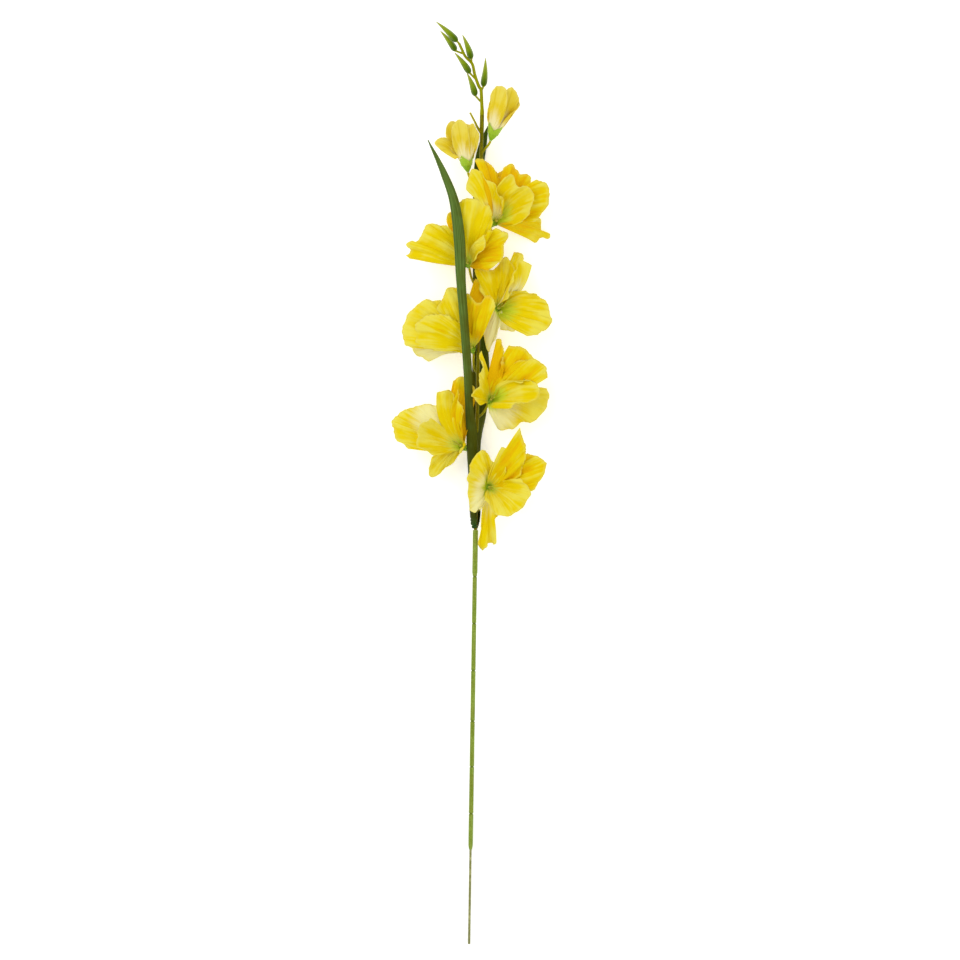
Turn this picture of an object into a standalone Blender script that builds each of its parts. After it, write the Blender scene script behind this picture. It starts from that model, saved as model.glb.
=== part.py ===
# An artificial gladiolus stem, laid down on its back: a wired stem in a ringed sleeve, seven open
# blooms, two half-open flowers, a sprig of buds and three sword leaves.
# +Y runs along the stem towards the buds and +Z is up, the side that the blooms face. The origin is on
# the surface, under the middle of the object's box. The dimensions below are in millimetres, and the
# meshes are made in metres.

import math

import bmesh
import bpy
from mathutils import Matrix, Vector

MM = 0.001
GAP = 0.3  # left between pieces that touch

# The stem is straight. It leans a little to the right and climbs from its wire end.
BUTT_Y = -500.0
STEM_X_AT_ORIGIN = 4.8
STEM_LEAN = 0.0156
STEM_RISE = 0.032
WIRE_RADIUS = 1.0
WIRE_TOP_Y = 386.0
BORE_RADIUS = 1.3

# The sleeve over the lower stem, with a groove about every 50 mm.
SLEEVE_RADIUS = 2.2
SLEEVE_BOTTOM_Y = -394.0
SLEEVE_TOP_Y = -50.0
SLEEVE_TAPER = 6.0
RING_Y = (-358.0, -307.0, -257.5, -202.5, -151.5, -100.5)
RING_HALF_LENGTH = 0.9
RING_DEPTH = 0.45

# The flower stem carries a peg for each flower.
FLOWER_STEM_RADIUS = 2.05
FLOWER_STEM_TOP_Y = 399.4
PEG_RADIUS = 1.3
PEG_STEPS = 5
SIDE_PEG = ((6.0, 386.5, 30.5), (3.5, 391.8, 31.0), (-1.9, 402.2, 31.5))

# Each flower: peg, calyx, throat hub, petals and stamens follow one axis, end to end. The petals
# leave the throat as a tube, the front ones innermost, and flare is the angle at which they leave it.
OPEN_SHAPE = {
    "calyx_length": 11.0,
    "calyx_radii": (1.4, 2.9, 3.9),
    "lobe_length": 1.6,
    "hub_radius": 2.9,
    "root_radius": 2.1,
    "flare": 0.5,
    "rise": 0.14,
    "least_rise": 5.0,
    "fabric": "yellow petal fabric",
}
HALF_OPEN_SHAPE = {
    "calyx_length": 10.0,
    "calyx_radii": (1.3, 4.2, 6.4),
    "lobe_length": 7.0,
    "hub_radius": 5.2,
    "root_radius": 4.0,
    "flare": 0.5,
    "rise": 0.0,
    "least_rise": 10.0,
    "fabric": "half-open petal fabric",
}
HUB_LENGTH = 4.5
ROOT_HALF_ANGLE = 40.0
ROOT_STEP = 0.1  # each further petal's root lies this much outside the last
RISE_PER_MM = 0.0075  # a petal keeps to the axis the longer, the higher its rim stands
PETAL_THICKNESS = 0.8
PETAL_ROWS = 3
PETAL_COLUMNS = 7
LOBE_ANGLES = (30.0, 150.0, 270.0)
LOBE_HALF_ANGLE = 30.0
LOBE_THICKNESS = 0.8
FILAMENT_LENGTH = 15.0
FILAMENT_RADIUS = 0.55
STAMEN_BUTTON_RADIUS = 1.3

# Leaves.
LEAF_THICKNESS = 0.9
LEAF_ROWS = 16
LEAF_COLUMNS = 4
LEAF_TIP_HALF_WIDTH = 0.5

# What reaches the surface is pressed flat on it.
FLOOR_LIMIT = 0.25
FLOOR_SOFTNESS = 0.6

COLOURS = {
    "steel wire": ((0.10, 0.11, 0.08), 0.45, 1.0),
    "sleeve plastic": ((0.31, 0.37, 0.08), 0.5, 0.0),
    "olive stem plastic": ((0.20, 0.21, 0.01), 0.45, 0.0),
    "bud plastic": ((0.12, 0.25, 0.01), 0.4, 0.0),
    "calyx plastic": ((0.22, 0.42, 0.03), 0.45, 0.0),
    "yellow petal fabric": ((0.82, 0.60, 0.02), 0.75, 0.0),
    "half-open petal fabric": ((0.82, 0.65, 0.16), 0.75, 0.0),
    "stamen plastic": ((0.55, 0.45, 0.03), 0.5, 0.0),
    "leaf fabric": ((0.07, 0.14, 0.02), 0.55, 0.0),
}


def petal(curl, *rim):
    """One petal: its backward curl, and its rim from one side of the root round the tip to the other."""
    rim = [Vector(point) for point in rim]
    marks = [0.0]
    for before, after in zip(rim, rim[1:]):
        marks.append(marks[-1] + (after - before).length)
    return {"curl": curl, "rim": rim, "marks": marks, "middle": sum(rim, Vector()) / len(rim)}


# Blooms are numbered from the lowest. "seat" is where the calyx ends and the bloom's hub begins.
BLOOMS = (
    {
        "name": "1",
        "peg_y": -30.0,
        "peg_direction": (1.0, 0.5, -0.35),
        "seat": (18.0, -3.0, 25.0),
        "axis": (0.22, -0.10, 0.97),
        "petals": (
            petal(0.2, (51, 61, 59), (57, 45, 56), (59, 34, 53), (53, 10, 47)),
            petal(0.3, (60, 33, 42), (70, 30, 40), (80, 23, 38), (80, 16, 40), (72, 0, 41),
                  (64, -7, 40)),
            petal(0.3, (53, 6, 54), (64, -9, 57), (61, -17, 60), (44, -33, 60), (35, -35, 58),
                  (26, -32, 55), (14, -18, 46)),
            petal(0.2, (25, 23, 44), (11, 37, 48), (-3, 14, 52), (-4, 1, 52), (-1, -28, 47),
                  (3, -31, 44), (13, -21, 38)),
            petal(0.1, (30, 37, 52), (33, 40, 53), (38, 38, 54), (37, 13, 48)),
            petal(0.5, (7, -47, 20), (9, -57, 21), (7, -68, 18), (10, -72, 17), (15, -69, 20),
                  (18, -65, 18), (24, -65, 20), (25, -44, 24), (28, -35, 28)),
        ),
    },
    {
        "name": "2",
        "peg_y": 14.0,
        "peg_direction": (-1.0, 0.6, -0.3),
        "seat": (-9.0, 40.0, 24.0),
        "axis": (-0.55, 0.30, 0.78),
        "petals": (
            petal(0.3, (-32, 80, 36), (-41, 86, 34), (-59, 86, 34), (-77, 78, 34), (-83, 73, 36),
                  (-86, 68, 33), (-86, 61, 35), (-81, 48, 35), (-68, 38, 34)),
            petal(0.2, (-45, 72, 50), (-55, 64, 56), (-59, 56, 59), (-59, 48, 58), (-54, 39, 60),
                  (-40, 31, 55)),
            petal(0.3, (-42, 30, 34), (-47, 14, 24), (-45, 8, 20), (-42, 7, 20), (-18, 25, 26),
                  (-14, 32, 29), (-10, 36, 31), (-7, 43, 34), (-8, 48, 38)),
            petal(0.2, (-38, 99, 47), (-25, 102, 40), (-20, 99, 38), (-19, 92, 40)),
            petal(0.1, (-14, 103, 54), (-15, 93, 52), (-10, 83, 52), (-13, 66, 46)),
            petal(0.1, (-20, 112, 30), (-14, 116, 29), (-7, 115, 27), (1, 107, 26), (6, 95, 25)),
        ),
    },
    {
        "name": "3",
        "peg_y": 72.0,
        "peg_direction": (1.0, 0.5, -0.4),
        "seat": (20.0, 90.0, 24.0),
        "axis": (0.20, 0.30, 0.93),
        "petals": (
            petal(0.1, (10, 144, 51), (10, 127, 54), (4, 100, 53), (-1, 95, 52), (4, 91, 50),
                  (11, 88, 47)),
            petal(0.3, (27, 156, 38), (32, 155, 40), (34, 140, 42), (32, 130, 43)),
            petal(0.3, (40, 150, 38), (49, 149, 36), (59, 146, 38), (64, 140, 37), (68, 132, 36)),
            petal(0.3, (40, 127, 40), (52, 134, 43), (67, 135, 44), (76, 131, 46), (80, 126, 45),
                  (82, 115, 47)),
            petal(0.3, (49, 113, 53), (66, 111, 56), (73, 103, 58), (71, 93, 56), (58, 88, 58),
                  (48, 87, 56), (39, 82, 57)),
            petal(0.3, (26, 70, 23), (31, 62, 22), (36, 59, 24), (46, 61, 27), (53, 65, 28),
                  (66, 68, 31), (75, 75, 33), (81, 84, 36), (84, 95, 38), (81, 103, 40)),
        ),
    },
    {
        "name": "4",
        "peg_y": 120.0,
        "peg_direction": (-1.0, 0.7, -0.5),
        "seat": (0.0, 146.0, 27.0),
        "axis": (-0.15, 0.35, 0.92),
        "petals": (
            petal(0.3, (-34, 198, 38), (-44, 199, 36), (-56, 196, 39), (-66, 188, 36),
                  (-73, 176, 39), (-75, 164, 37), (-74, 155, 39), (-65, 147, 37)),
            petal(0.3, (-66, 152, 22), (-59, 141, 20), (-49, 136, 18), (-36, 138, 20)),
            petal(0.3, (-37, 184, 42), (-36, 194, 44), (-30, 206, 45), (-25, 212, 43),
                  (-18, 213, 44), (-12, 210, 42)),
            petal(0.2, (-10, 194, 50), (-5, 206, 52), (5, 196, 52), (11, 198, 55), (14, 203, 57),
                  (18, 204, 58), (22, 202, 58), (25, 192, 57)),
            petal(0.3, (4, 223, 31), (9, 221, 30), (16, 215, 28), (19, 207, 27), (18, 188, 28)),
            petal(0.3, (-33, 150, 12), (-46, 167, 9), (-51, 181, 8), (-42, 188, 9), (-26, 184, 12)),
        ),
    },
    {
        "name": "5",
        "peg_y": 167.0,
        "peg_direction": (1.0, 0.5, -0.5),
        "seat": (27.0, 189.0, 24.0),
        "axis": (0.40, 0.30, 0.86),
        "petals": (
            petal(0.3, (12, 206, 36), (6, 220, 37), (3, 234, 35), (11, 232, 37), (22, 232, 36),
                  (35, 245, 36), (40, 244, 37), (46, 234, 38), (45, 219, 39), (38, 204, 40)),
            petal(0.3, (46, 253, 26), (52, 251, 26), (55, 240, 27), (51, 225, 29)),
            petal(0.2, (39, 200, 50), (47, 227, 55), (51, 235, 54), (56, 241, 49), (63, 237, 45)),
            petal(0.3, (51, 207, 40), (60, 209, 42), (71, 205, 40), (80, 198, 42), (84, 190, 40),
                  (84, 184, 42), (87, 178, 40), (84, 170, 42), (76, 166, 40), (71, 161, 42),
                  (57, 161, 40)),
            petal(0.6, (18, 182, 30), (13, 169, 32), (14, 152, 32), (19, 143, 31), (26, 160, 32),
                  (33, 172, 30)),
            petal(0.3, (31, 167, 16), (39, 168, 14), (47, 166, 12), (51, 173, 14)),
        ),
    },
    {
        "name": "6",
        "peg_y": 211.0,
        "peg_direction": (-1.0, 0.7, -0.4),
        "seat": (-4.0, 238.0, 28.0),
        "axis": (-0.10, 0.30, 0.95),
        "petals": (
            petal(0.3, (-27, 278, 44), (-44, 281, 46), (-50, 280, 44), (-56, 265, 44),
                  (-65, 262, 46), (-69, 259, 44), (-65, 250, 42)),
            petal(0.3, (-27, 274, 33), (-26, 287, 32), (-24, 294, 31), (-18, 296, 30),
                  (-13, 294, 30)),
            petal(0.3, (-18, 279, 46), (-14, 305, 48), (-9, 310, 48), (13, 304, 47), (18, 299, 47),
                  (20, 291, 47)),
            petal(0.3, (14, 269, 61), (13, 259, 60), (9, 251, 58), (3, 244, 55)),
            petal(0.3, (26, 277, 46), (38, 270, 44), (39, 266, 44), (35, 259, 46), (34, 247, 49),
                  (31, 240, 51), (24, 234, 53), (16, 232, 53)),
            petal(0.3, (-47, 236, 0), (-59, 247, -1), (-63, 258, -1), (-54, 267, 0), (-33, 262, 5)),
        ),
    },
    {
        "name": "7",
        "peg_y": 261.0,
        "peg_direction": (1.0, 0.6, -0.4),
        "seat": (24.0, 283.0, 27.0),
        "axis": (0.45, 0.40, 0.80),
        "petals": (
            petal(0.3, (3, 350, 43), (13, 351, 44), (26, 339, 42), (33, 326, 42)),
            petal(0.2, (-1, 340, 49), (6, 339, 50), (12, 332, 52), (22, 326, 54), (26, 317, 55),
                  (32, 309, 56), (33, 302, 53)),
            petal(0.3, (26, 338, 34), (44, 346, 34), (53, 335, 34), (61, 336, 35), (65, 319, 34)),
            petal(0.3, (36, 332, 58), (42, 334, 59), (45, 331, 58), (48, 323, 57), (53, 320, 59),
                  (62, 320, 57), (66, 304, 57), (64, 297, 58), (60, 290, 55), (54, 283, 50)),
            petal(0.3, (70, 328, 42), (79, 326, 44), (83, 320, 42), (84, 311, 44), (82, 301, 42),
                  (70, 286, 42), (60, 282, 41)),
            petal(0.3, (68, 262, -1), (75, 267, -1), (83, 268, -1), (83, 272, -1), (78, 276, 0),
                  (75, 284, 2), (66, 290, 8)),
        ),
    },
)

HALF_OPEN = (
    {
        "name": "right",
        "peg_y": 357.0,
        "peg_direction": (0.5, 1.0, 0.2),
        "seat": (20.9, 380.5, 33.0),
        "axis": (0.29, 0.95, 0.10),
        "petals": (
            petal(0.0, (16, 397, 40), (19, 410, 40), (21, 423, 41), (27, 430, 44), (33, 430, 47),
                  (38, 425, 49), (38, 411, 50), (35, 399, 47)),
            petal(0.0, (38, 425, 46), (43, 429, 45), (48, 424, 42), (50, 418, 39), (48, 407, 36)),
            petal(0.3, (43, 402, 44), (51, 408, 41), (51, 415, 37), (48, 423, 33), (42, 423, 30)),
            petal(0.0, (17, 402, 37), (21, 418, 31), (26, 428, 28), (33, 427, 26), (35, 412, 25)),
            petal(0.0, (36, 424, 26), (43, 427, 28), (49, 418, 32), (46, 403, 35)),
        ),
    },
    {
        "name": "left",
        "peg_y": 318.0,
        "peg_direction": (-0.8, 1.0, 0.3),
        "seat": (-6.6, 347.3, 35.0),
        "axis": (-0.25, 0.96, 0.10),
        "petals": (
            petal(0.3, (-18, 351, 40), (-31, 359, 40), (-40, 368, 41), (-36, 374, 40),
                  (-29, 375, 41)),
            petal(0.0, (-22, 362, 36), (-28, 377, 34), (-28, 384, 33), (-24, 392, 31),
                  (-17, 392, 29), (-12, 376, 27)),
            petal(0.1, (-20, 364, 45), (-22, 378, 48), (-20, 388, 49), (-14, 394, 50), (-8, 391, 51),
                  (-4, 384, 50), (-3, 366, 48)),
            petal(0.1, (-6, 372, 48), (-4, 386, 48), (1, 390, 46), (5, 384, 44), (8, 377, 41),
                  (6, 365, 38), (2, 352, 38)),
            petal(0.0, (3, 370, 36), (0, 387, 32), (-7, 390, 29), (-13, 386, 27), (-15, 370, 27)),
        ),
    },
)

# The sprig: its stalk, and each bud from its base to its tip with where its little stalk joins.
SPRIG_STALK = (
    (11.0, 401.5, 30.0),
    (10.7, 413.4, 30.6),
    (10.0, 426.4, 31.2),
    (7.8, 430.2, 31.4),
    (5.1, 437.2, 31.8),
    (3.1, 443.7, 32.2),
    (1.3, 452.4, 32.8),
    (-0.9, 456.7, 33.2),
    (-7.0, 462.8, 33.8),
    (-10.4, 469.7, 34.2),
    (-13.9, 477.3, 34.8),
)
BUDS = (
    {"joint": (-13.0, 475.5, 34.6), "base": (-15.5, 478.8, 35.0), "tip": (-38.7, 500.4, 36.0)},
    {"joint": (-8.6, 465.5, 34.0), "base": (-17.1, 468.9, 31.0), "tip": (-34.1, 490.9, 28.0)},
    {"joint": (-0.2, 455.2, 33.0), "base": (-0.4, 460.0, 36.5), "tip": (-10.1, 486.0, 41.0)},
    {"joint": (5.1, 437.2, 31.8), "base": (-1.9, 444.5, 36.0), "tip": (-18.6, 466.5, 41.0)},
    {"joint": (10.3, 424.6, 31.1), "base": (12.3, 430.2, 28.5), "tip": (14.8, 461.7, 25.0)},
    {"joint": (10.7, 412.9, 30.6), "base": (4.1, 420.1, 32.0), "tip": (-5.2, 444.8, 36.5)},
)
BUD_RADIUS = 3.0
BUD_STALK_RADIUS = 0.9

# Leaves: centreline, half width, the direction that the outer face looks to, and the radius that
# the blade is curved to across its width.
LEAVES = {
    "leaf_front": (
        ((2.4, -47.0, 17.8), 3.2, (-0.57, 0.0, 0.82), 2.8),
        ((1.7, -31.0, 19.2), 3.7, (-0.57, 0.0, 0.82), 3.2),
        ((-0.3, 10.0, 25.5), 4.2, (-0.45, 0.0, 0.89), 5.0),
        ((-1.4, 38.0, 33.0), 4.6, (-0.35, 0.0, 0.94), 7.0),
        ((-2.6, 60.0, 38.5), 4.9, (-0.25, 0.0, 0.97), 8.0),
        ((-4.5, 121.0, 49.0), 5.0, (-0.20, 0.0, 0.98), 9.0),
        ((-8.4, 176.0, 57.0), 5.0, (-0.20, 0.0, 0.98), 10.0),
        ((-11.9, 222.0, 60.5), 5.4, (-0.10, 0.0, 1.0), 11.0),
        ((-13.3, 263.0, 60.0), 6.4, (0.0, 0.0, 1.0), 12.0),
        ((-19.0, 305.0, 56.0), 5.3, (0.1, 0.0, 1.0), 12.0),
        ((-31.5, 339.0, 49.0), 3.5, (0.2, 0.0, 1.0), 12.0),
        ((-47.4, 372.0, 40.0), 0.5, (0.2, 0.0, 1.0), 12.0),
    ),
    "leaf_right": (
        ((7.6, -14.0, 17.1), 2.3, (0.98, 0.0, 0.17), 2.8),
        ((7.9, 0.0, 17.6), 2.8, (0.98, 0.0, 0.17), 3.0),
        ((9.6, 22.0, 16.5), 3.5, (0.96, 0.0, 0.3), 5.0),
        ((11.0, 48.0, 13.5), 4.3, (0.8, 0.0, 0.6), 9.0),
        ((11.6, 75.0, 9.5), 5.4, (0.45, 0.0, 0.89), 14.0),
        ((13.0, 96.0, 7.4), 6.0, (0.3, 0.0, 0.95), 16.0),
        ((13.8, 123.0, 7.2), 5.6, (0.2, 0.0, 0.98), 16.0),
        ((13.4, 150.0, 8.4), 4.4, (0.1, 0.0, 1.0), 16.0),
        ((13.2, 178.0, 10.4), 3.0, (0.0, 0.0, 1.0), 16.0),
        ((14.4, 200.0, 12.4), 0.5, (0.0, 0.0, 1.0), 16.0),
    ),
    "leaf_back": (
        ((3.4, -47.0, 12.8), 2.4, (-0.26, 0.0, -0.97), 2.8),
        ((3.3, -31.0, 13.0), 2.8, (-0.26, 0.0, -0.97), 3.1),
        ((3.6, -5.0, 11.0), 3.6, (-0.2, 0.0, -0.98), 6.0),
        ((4.5, 25.0, 6.5), 4.6, (0.0, 0.0, -1.0), 12.0),
        ((5.0, 55.0, 2.2), 5.4, (0.0, 0.0, -1.0), 30.0),
        ((6.0, 90.0, -1.0), 6.0, (0.0, 0.0, -1.0), 60.0),
        ((8.0, 150.0, -2.0), 6.5, (0.0, 0.0, -1.0), 90.0),
        ((10.0, 220.0, -2.0), 6.8, (0.0, 0.0, -1.0), 90.0),
        ((11.0, 290.0, -2.0), 6.5, (0.0, 0.0, -1.0), 90.0),
        ((12.5, 345.0, -1.0), 5.0, (0.0, 0.0, -1.0), 60.0),
        ((15.5, 372.0, 2.0), 3.0, (0.0, 0.0, -1.0), 30.0),
        ((17.5, 388.0, 5.0), 0.5, (0.0, 0.0, -1.0), 20.0),
    ),
}


def clear_scene():
    for old in list(bpy.data.objects):
        bpy.data.objects.remove(old, do_unlink=True)


def mix(start, end, share):
    return start + (end - start) * share


def stem_point(y):
    """The stem's axis at y."""
    along = y - BUTT_Y
    return Vector((STEM_X_AT_ORIGIN + STEM_LEAN * y, y, WIRE_RADIUS + STEM_RISE * along))


STEM_DIRECTION = (stem_point(1.0) - stem_point(0.0)).normalized()


def material(name):
    made = bpy.data.materials.get(name)
    if made is None:
        colour, roughness, metallic = COLOURS[name]
        made = bpy.data.materials.new(name)
        made.use_nodes = True
        shader = made.node_tree.nodes["Principled BSDF"]
        shader.inputs["Base Color"].default_value = (*colour, 1.0)
        shader.inputs["Roughness"].default_value = roughness
        shader.inputs["Metallic"].default_value = metallic
        made.diffuse_color = (*colour, 1.0)
    return made


def new_object(name, bm, origin=(0.0, 0.0, 0.0)):
    """A mesh object from a bmesh in millimetres, with its origin at the given point."""
    bmesh.ops.translate(bm, vec=-Vector(origin), verts=bm.verts)
    bmesh.ops.scale(bm, vec=(MM, MM, MM), verts=bm.verts)
    bmesh.ops.recalc_face_normals(bm, faces=bm.faces)
    mesh = bpy.data.meshes.new(name)
    bm.to_mesh(mesh)
    bm.free()
    made = bpy.data.objects.new(name, mesh)
    made.location = Vector(origin) * MM
    bpy.context.scene.collection.objects.link(made)
    return made


def finish(made, material_name, parent, sharp_angle=35.0):
    made.data.materials.clear()
    made.data.materials.append(material(material_name))
    made.data.shade_smooth()
    made.data.set_sharp_from_angle(angle=math.radians(sharp_angle))
    made.parent = parent
    return made


def facing(axis):
    """A rotation that turns +Z to the axis."""
    return Vector(axis).to_track_quat("Z", "Y").to_matrix().to_4x4()


def path_frames(points):
    """A frame at each point, with +Z along the path and as little twist as can be."""
    frames = []
    turned = None
    for index, point in enumerate(points):
        before = points[max(index - 1, 0)]
        after = points[min(index + 1, len(points) - 1)]
        tangent = (after - before).normalized()
        if turned is None:
            turned = tangent.to_track_quat("Z", "Y")
        else:
            turned = (turned @ Vector((0.0, 0.0, 1.0))).rotation_difference(tangent) @ turned
        frames.append(Matrix.Translation(point) @ turned.to_matrix().to_4x4())
    return frames


def tube(bm, points, radii, sides):
    """A closed round rod along the points, extruded ring by ring from a disc."""
    points = [Vector(point) for point in points]
    frames = [
        frame @ Matrix.Diagonal((radius, radius, radius, 1.0))
        for frame, radius in zip(path_frames(points), radii)
    ]
    disc = bmesh.ops.create_circle(bm, cap_ends=True, segments=sides, radius=1.0, matrix=frames[0])
    cap = disc["verts"][0].link_faces[0]
    inner = []
    for before, after in zip(frames, frames[1:]):
        grown = bmesh.ops.extrude_face_region(bm, geom=[cap])["geom"]
        ring = [item for item in grown if isinstance(item, bmesh.types.BMVert)]
        inner.append(cap)
        cap = next(item for item in grown if isinstance(item, bmesh.types.BMFace))
        bmesh.ops.transform(bm, matrix=after @ before.inverted(), verts=ring)
    bmesh.ops.delete(bm, geom=inner[1:], context="FACES_ONLY")


def bezier(start, pull_start, pull_end, end, share):
    rest = 1.0 - share
    return (
        start * rest**3
        + pull_start * 3.0 * rest * rest * share
        + pull_end * 3.0 * rest * share * share
        + end * share**3
    )


def catmull(before, start, end, after, share):
    """A point between start and end on the smooth curve through all four values."""
    return 0.5 * (
        2.0 * start
        + (end - before) * share
        + (2.0 * before - 5.0 * start + 4.0 * end - after) * share**2
        + (3.0 * start - before - 3.0 * end + after) * share**3
    )


def evaluated_mesh(made):
    """The object's mesh with its modifiers applied."""
    depsgraph = bpy.context.evaluated_depsgraph_get()
    return bpy.data.meshes.new_from_object(made.evaluated_get(depsgraph))


def apply_modifiers(made):
    mesh = evaluated_mesh(made)
    made.modifiers.clear()
    made.data = mesh
    return made


def remove_object(made):
    mesh = made.data
    bpy.data.objects.remove(made, do_unlink=True)
    bpy.data.meshes.remove(mesh)


def fuse(base, pieces):
    """Join the pieces to the base as one body."""
    group = bpy.data.collections.new(base.name + "_pieces")
    bpy.context.scene.collection.children.link(group)
    for piece in pieces:
        group.objects.link(piece)
    union = base.modifiers.new("Fuse", "BOOLEAN")
    union.operation = "UNION"
    union.operand_type = "COLLECTION"
    union.collection = group
    union.solver = "EXACT"
    apply_modifiers(base)
    for piece in pieces:
        remove_object(piece)
    bpy.data.collections.remove(group)
    keep_outer_shell(base)
    return base


def cut(base, cutter):
    """Take the cutter out of the base."""
    difference = base.modifiers.new("Cut", "BOOLEAN")
    difference.operation = "DIFFERENCE"
    difference.object = cutter
    difference.solver = "EXACT"
    apply_modifiers(base)
    remove_object(cutter)
    return base


def shells(bm):
    """The mesh's connected shells, as lists of faces."""
    left = set(bm.faces)
    found = []
    while left:
        queue = [left.pop()]
        shell = []
        while queue:
            face = queue.pop()
            shell.append(face)
            for edge in face.edges:
                for other in edge.link_faces:
                    if other in left:
                        left.remove(other)
                        queue.append(other)
        found.append(shell)
    return found


def shell_volume(shell):
    total = 0.0
    for face in shell:
        first = face.verts[0].co
        for one, two in zip(face.verts[1:-1], face.verts[2:]):
            total += first.dot(one.co.cross(two.co)) / 6.0
    return total


def drop_flaps(bm):
    """Delete pairs of triangles that lie back to back on the same three corners."""
    bm.verts.index_update()
    single = {}
    flaps = []
    for face in bm.faces:
        corners = frozenset(vert.index for vert in face.verts)
        if corners in single:
            flaps += [face, single.pop(corners)]
        else:
            single[corners] = face
    bmesh.ops.delete(bm, geom=flaps, context="FACES")


def keep_outer_shell(made):
    """Fill the pockets that the fusing sealed and drop loose scraps."""
    bm = bmesh.new()
    bm.from_mesh(made.data)
    bmesh.ops.triangulate(bm, faces=bm.faces)
    drop_flaps(bm)
    found = sorted(shells(bm), key=shell_volume)
    spare = [face for shell in found[:-1] for face in shell]
    bmesh.ops.delete(bm, geom=spare, context="FACES")
    bm.to_mesh(made.data)
    bm.free()


def rest_flat(made):
    """Cut the object off level with the surface where it is pressed on it."""
    bm = bmesh.new()
    bm.from_mesh(made.data)
    level = -made.location.z
    geometry = bm.verts[:] + bm.edges[:] + bm.faces[:]
    split = bmesh.ops.bisect_plane(
        bm, geom=geometry, dist=1e-8, plane_co=(0.0, 0.0, level), plane_no=(0.0, 0.0, 1.0), clear_inner=True
    )
    rim = [item for item in split["geom_cut"] if isinstance(item, bmesh.types.BMEdge)]
    if rim:
        bmesh.ops.holes_fill(bm, edges=[edge for edge in rim if edge.is_boundary], sides=0)
    bmesh.ops.triangulate(bm, faces=bm.faces)
    bm.to_mesh(made.data)
    bm.free()


def settle(point):
    """Bend a point that would sink into the surface flat onto it."""
    depth = (point.z - FLOOR_LIMIT) / FLOOR_SOFTNESS
    if depth < 12.0:
        point.z = FLOOR_LIMIT + FLOOR_SOFTNESS * math.log1p(math.exp(depth))
    return point


def rim_point(spec, share):
    """The point at a share of the rim's length, on a smooth curve through the rim's points."""
    rim = spec["rim"]
    marks = spec["marks"]
    target = share * marks[-1]
    index = 0
    while index < len(rim) - 2 and marks[index + 1] < target:
        index += 1
    reach = marks[index + 1] - marks[index]

    def heading(at):
        before, after = max(at - 1, 0), min(at + 1, len(rim) - 1)
        return (rim[after] - rim[before]) * (reach / (marks[after] - marks[before]))

    start, end = rim[index], rim[index + 1]
    pull_start = start + heading(index) / 3.0
    pull_end = end - heading(index + 1) / 3.0
    return bezier(start, pull_start, pull_end, end, (target - marks[index]) / reach)


def petal_point(flower, shape, spec, rank, u, v):
    """A point on the petal's middle surface: u runs from root to rim, v from -1 to 1 along the rim."""
    axis = Vector(flower["axis"]).normalized()
    seat = Vector(flower["seat"])
    outward = spec["middle"] - seat
    height = outward.dot(axis)
    outward = (outward - axis * height).normalized()
    across = axis.cross(outward)
    turn = math.copysign(math.radians(ROOT_HALF_ANGLE), (spec["rim"][-1] - spec["rim"][0]).dot(across))
    radial = outward * math.cos(turn * v) + across * math.sin(turn * v)
    root = seat + axis * 2.0 + radial * (shape["root_radius"] + ROOT_STEP * rank)
    edge = rim_point(spec, 0.5 * (v + 1.0))
    length = (edge - root).length
    leaving = axis * math.cos(shape["flare"]) + radial * math.sin(shape["flare"])
    rise = (shape["rise"] + RISE_PER_MM * height) * length
    pull_start = root + leaving * max(rise, shape["least_rise"])
    end_direction = (edge - pull_start).normalized() - axis * spec["curl"]
    pull_end = edge - end_direction.normalized() * (0.35 * length)
    return settle(bezier(root, pull_start, pull_end, edge, u))


def blade(name, rows, columns, surface, thickness):
    """A thin waved blade: a grid laid on the surface, split into triangles, then given its wall."""
    bm = bmesh.new()
    bmesh.ops.create_grid(bm, x_segments=rows, y_segments=columns, size=1.0)
    for vert in bm.verts:
        vert.co = surface(0.5 * (vert.co.x + 1.0), vert.co.y)
    bmesh.ops.triangulate(bm, faces=bm.faces)
    made = new_object(name, bm)
    wall = made.modifiers.new("Wall", "SOLIDIFY")
    wall.thickness = thickness * MM
    wall.offset = 0.0
    return apply_modifiers(made)


def make_bloom(name, flower, shape, parent):
    """The petals, fused at their roots to a small hub."""
    axis = Vector(flower["axis"]).normalized()
    seat = Vector(flower["seat"])
    bm = bmesh.new()
    tube(bm, (seat + axis * GAP, seat + axis * HUB_LENGTH), [shape["hub_radius"]] * 2, 12)
    made = new_object(name, bm)
    inner_first = sorted(flower["petals"], key=lambda spec: -spec["middle"].z)
    petals = [
        blade(
            f"{name}_petal_{rank}",
            PETAL_ROWS,
            PETAL_COLUMNS,
            lambda u, v, spec=spec, rank=rank: petal_point(flower, shape, spec, rank, u, v),
            PETAL_THICKNESS,
        )
        for rank, spec in enumerate(inner_first)
    ]
    rest_flat(fuse(made, petals))
    return finish(made, shape["fabric"], parent)


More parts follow.
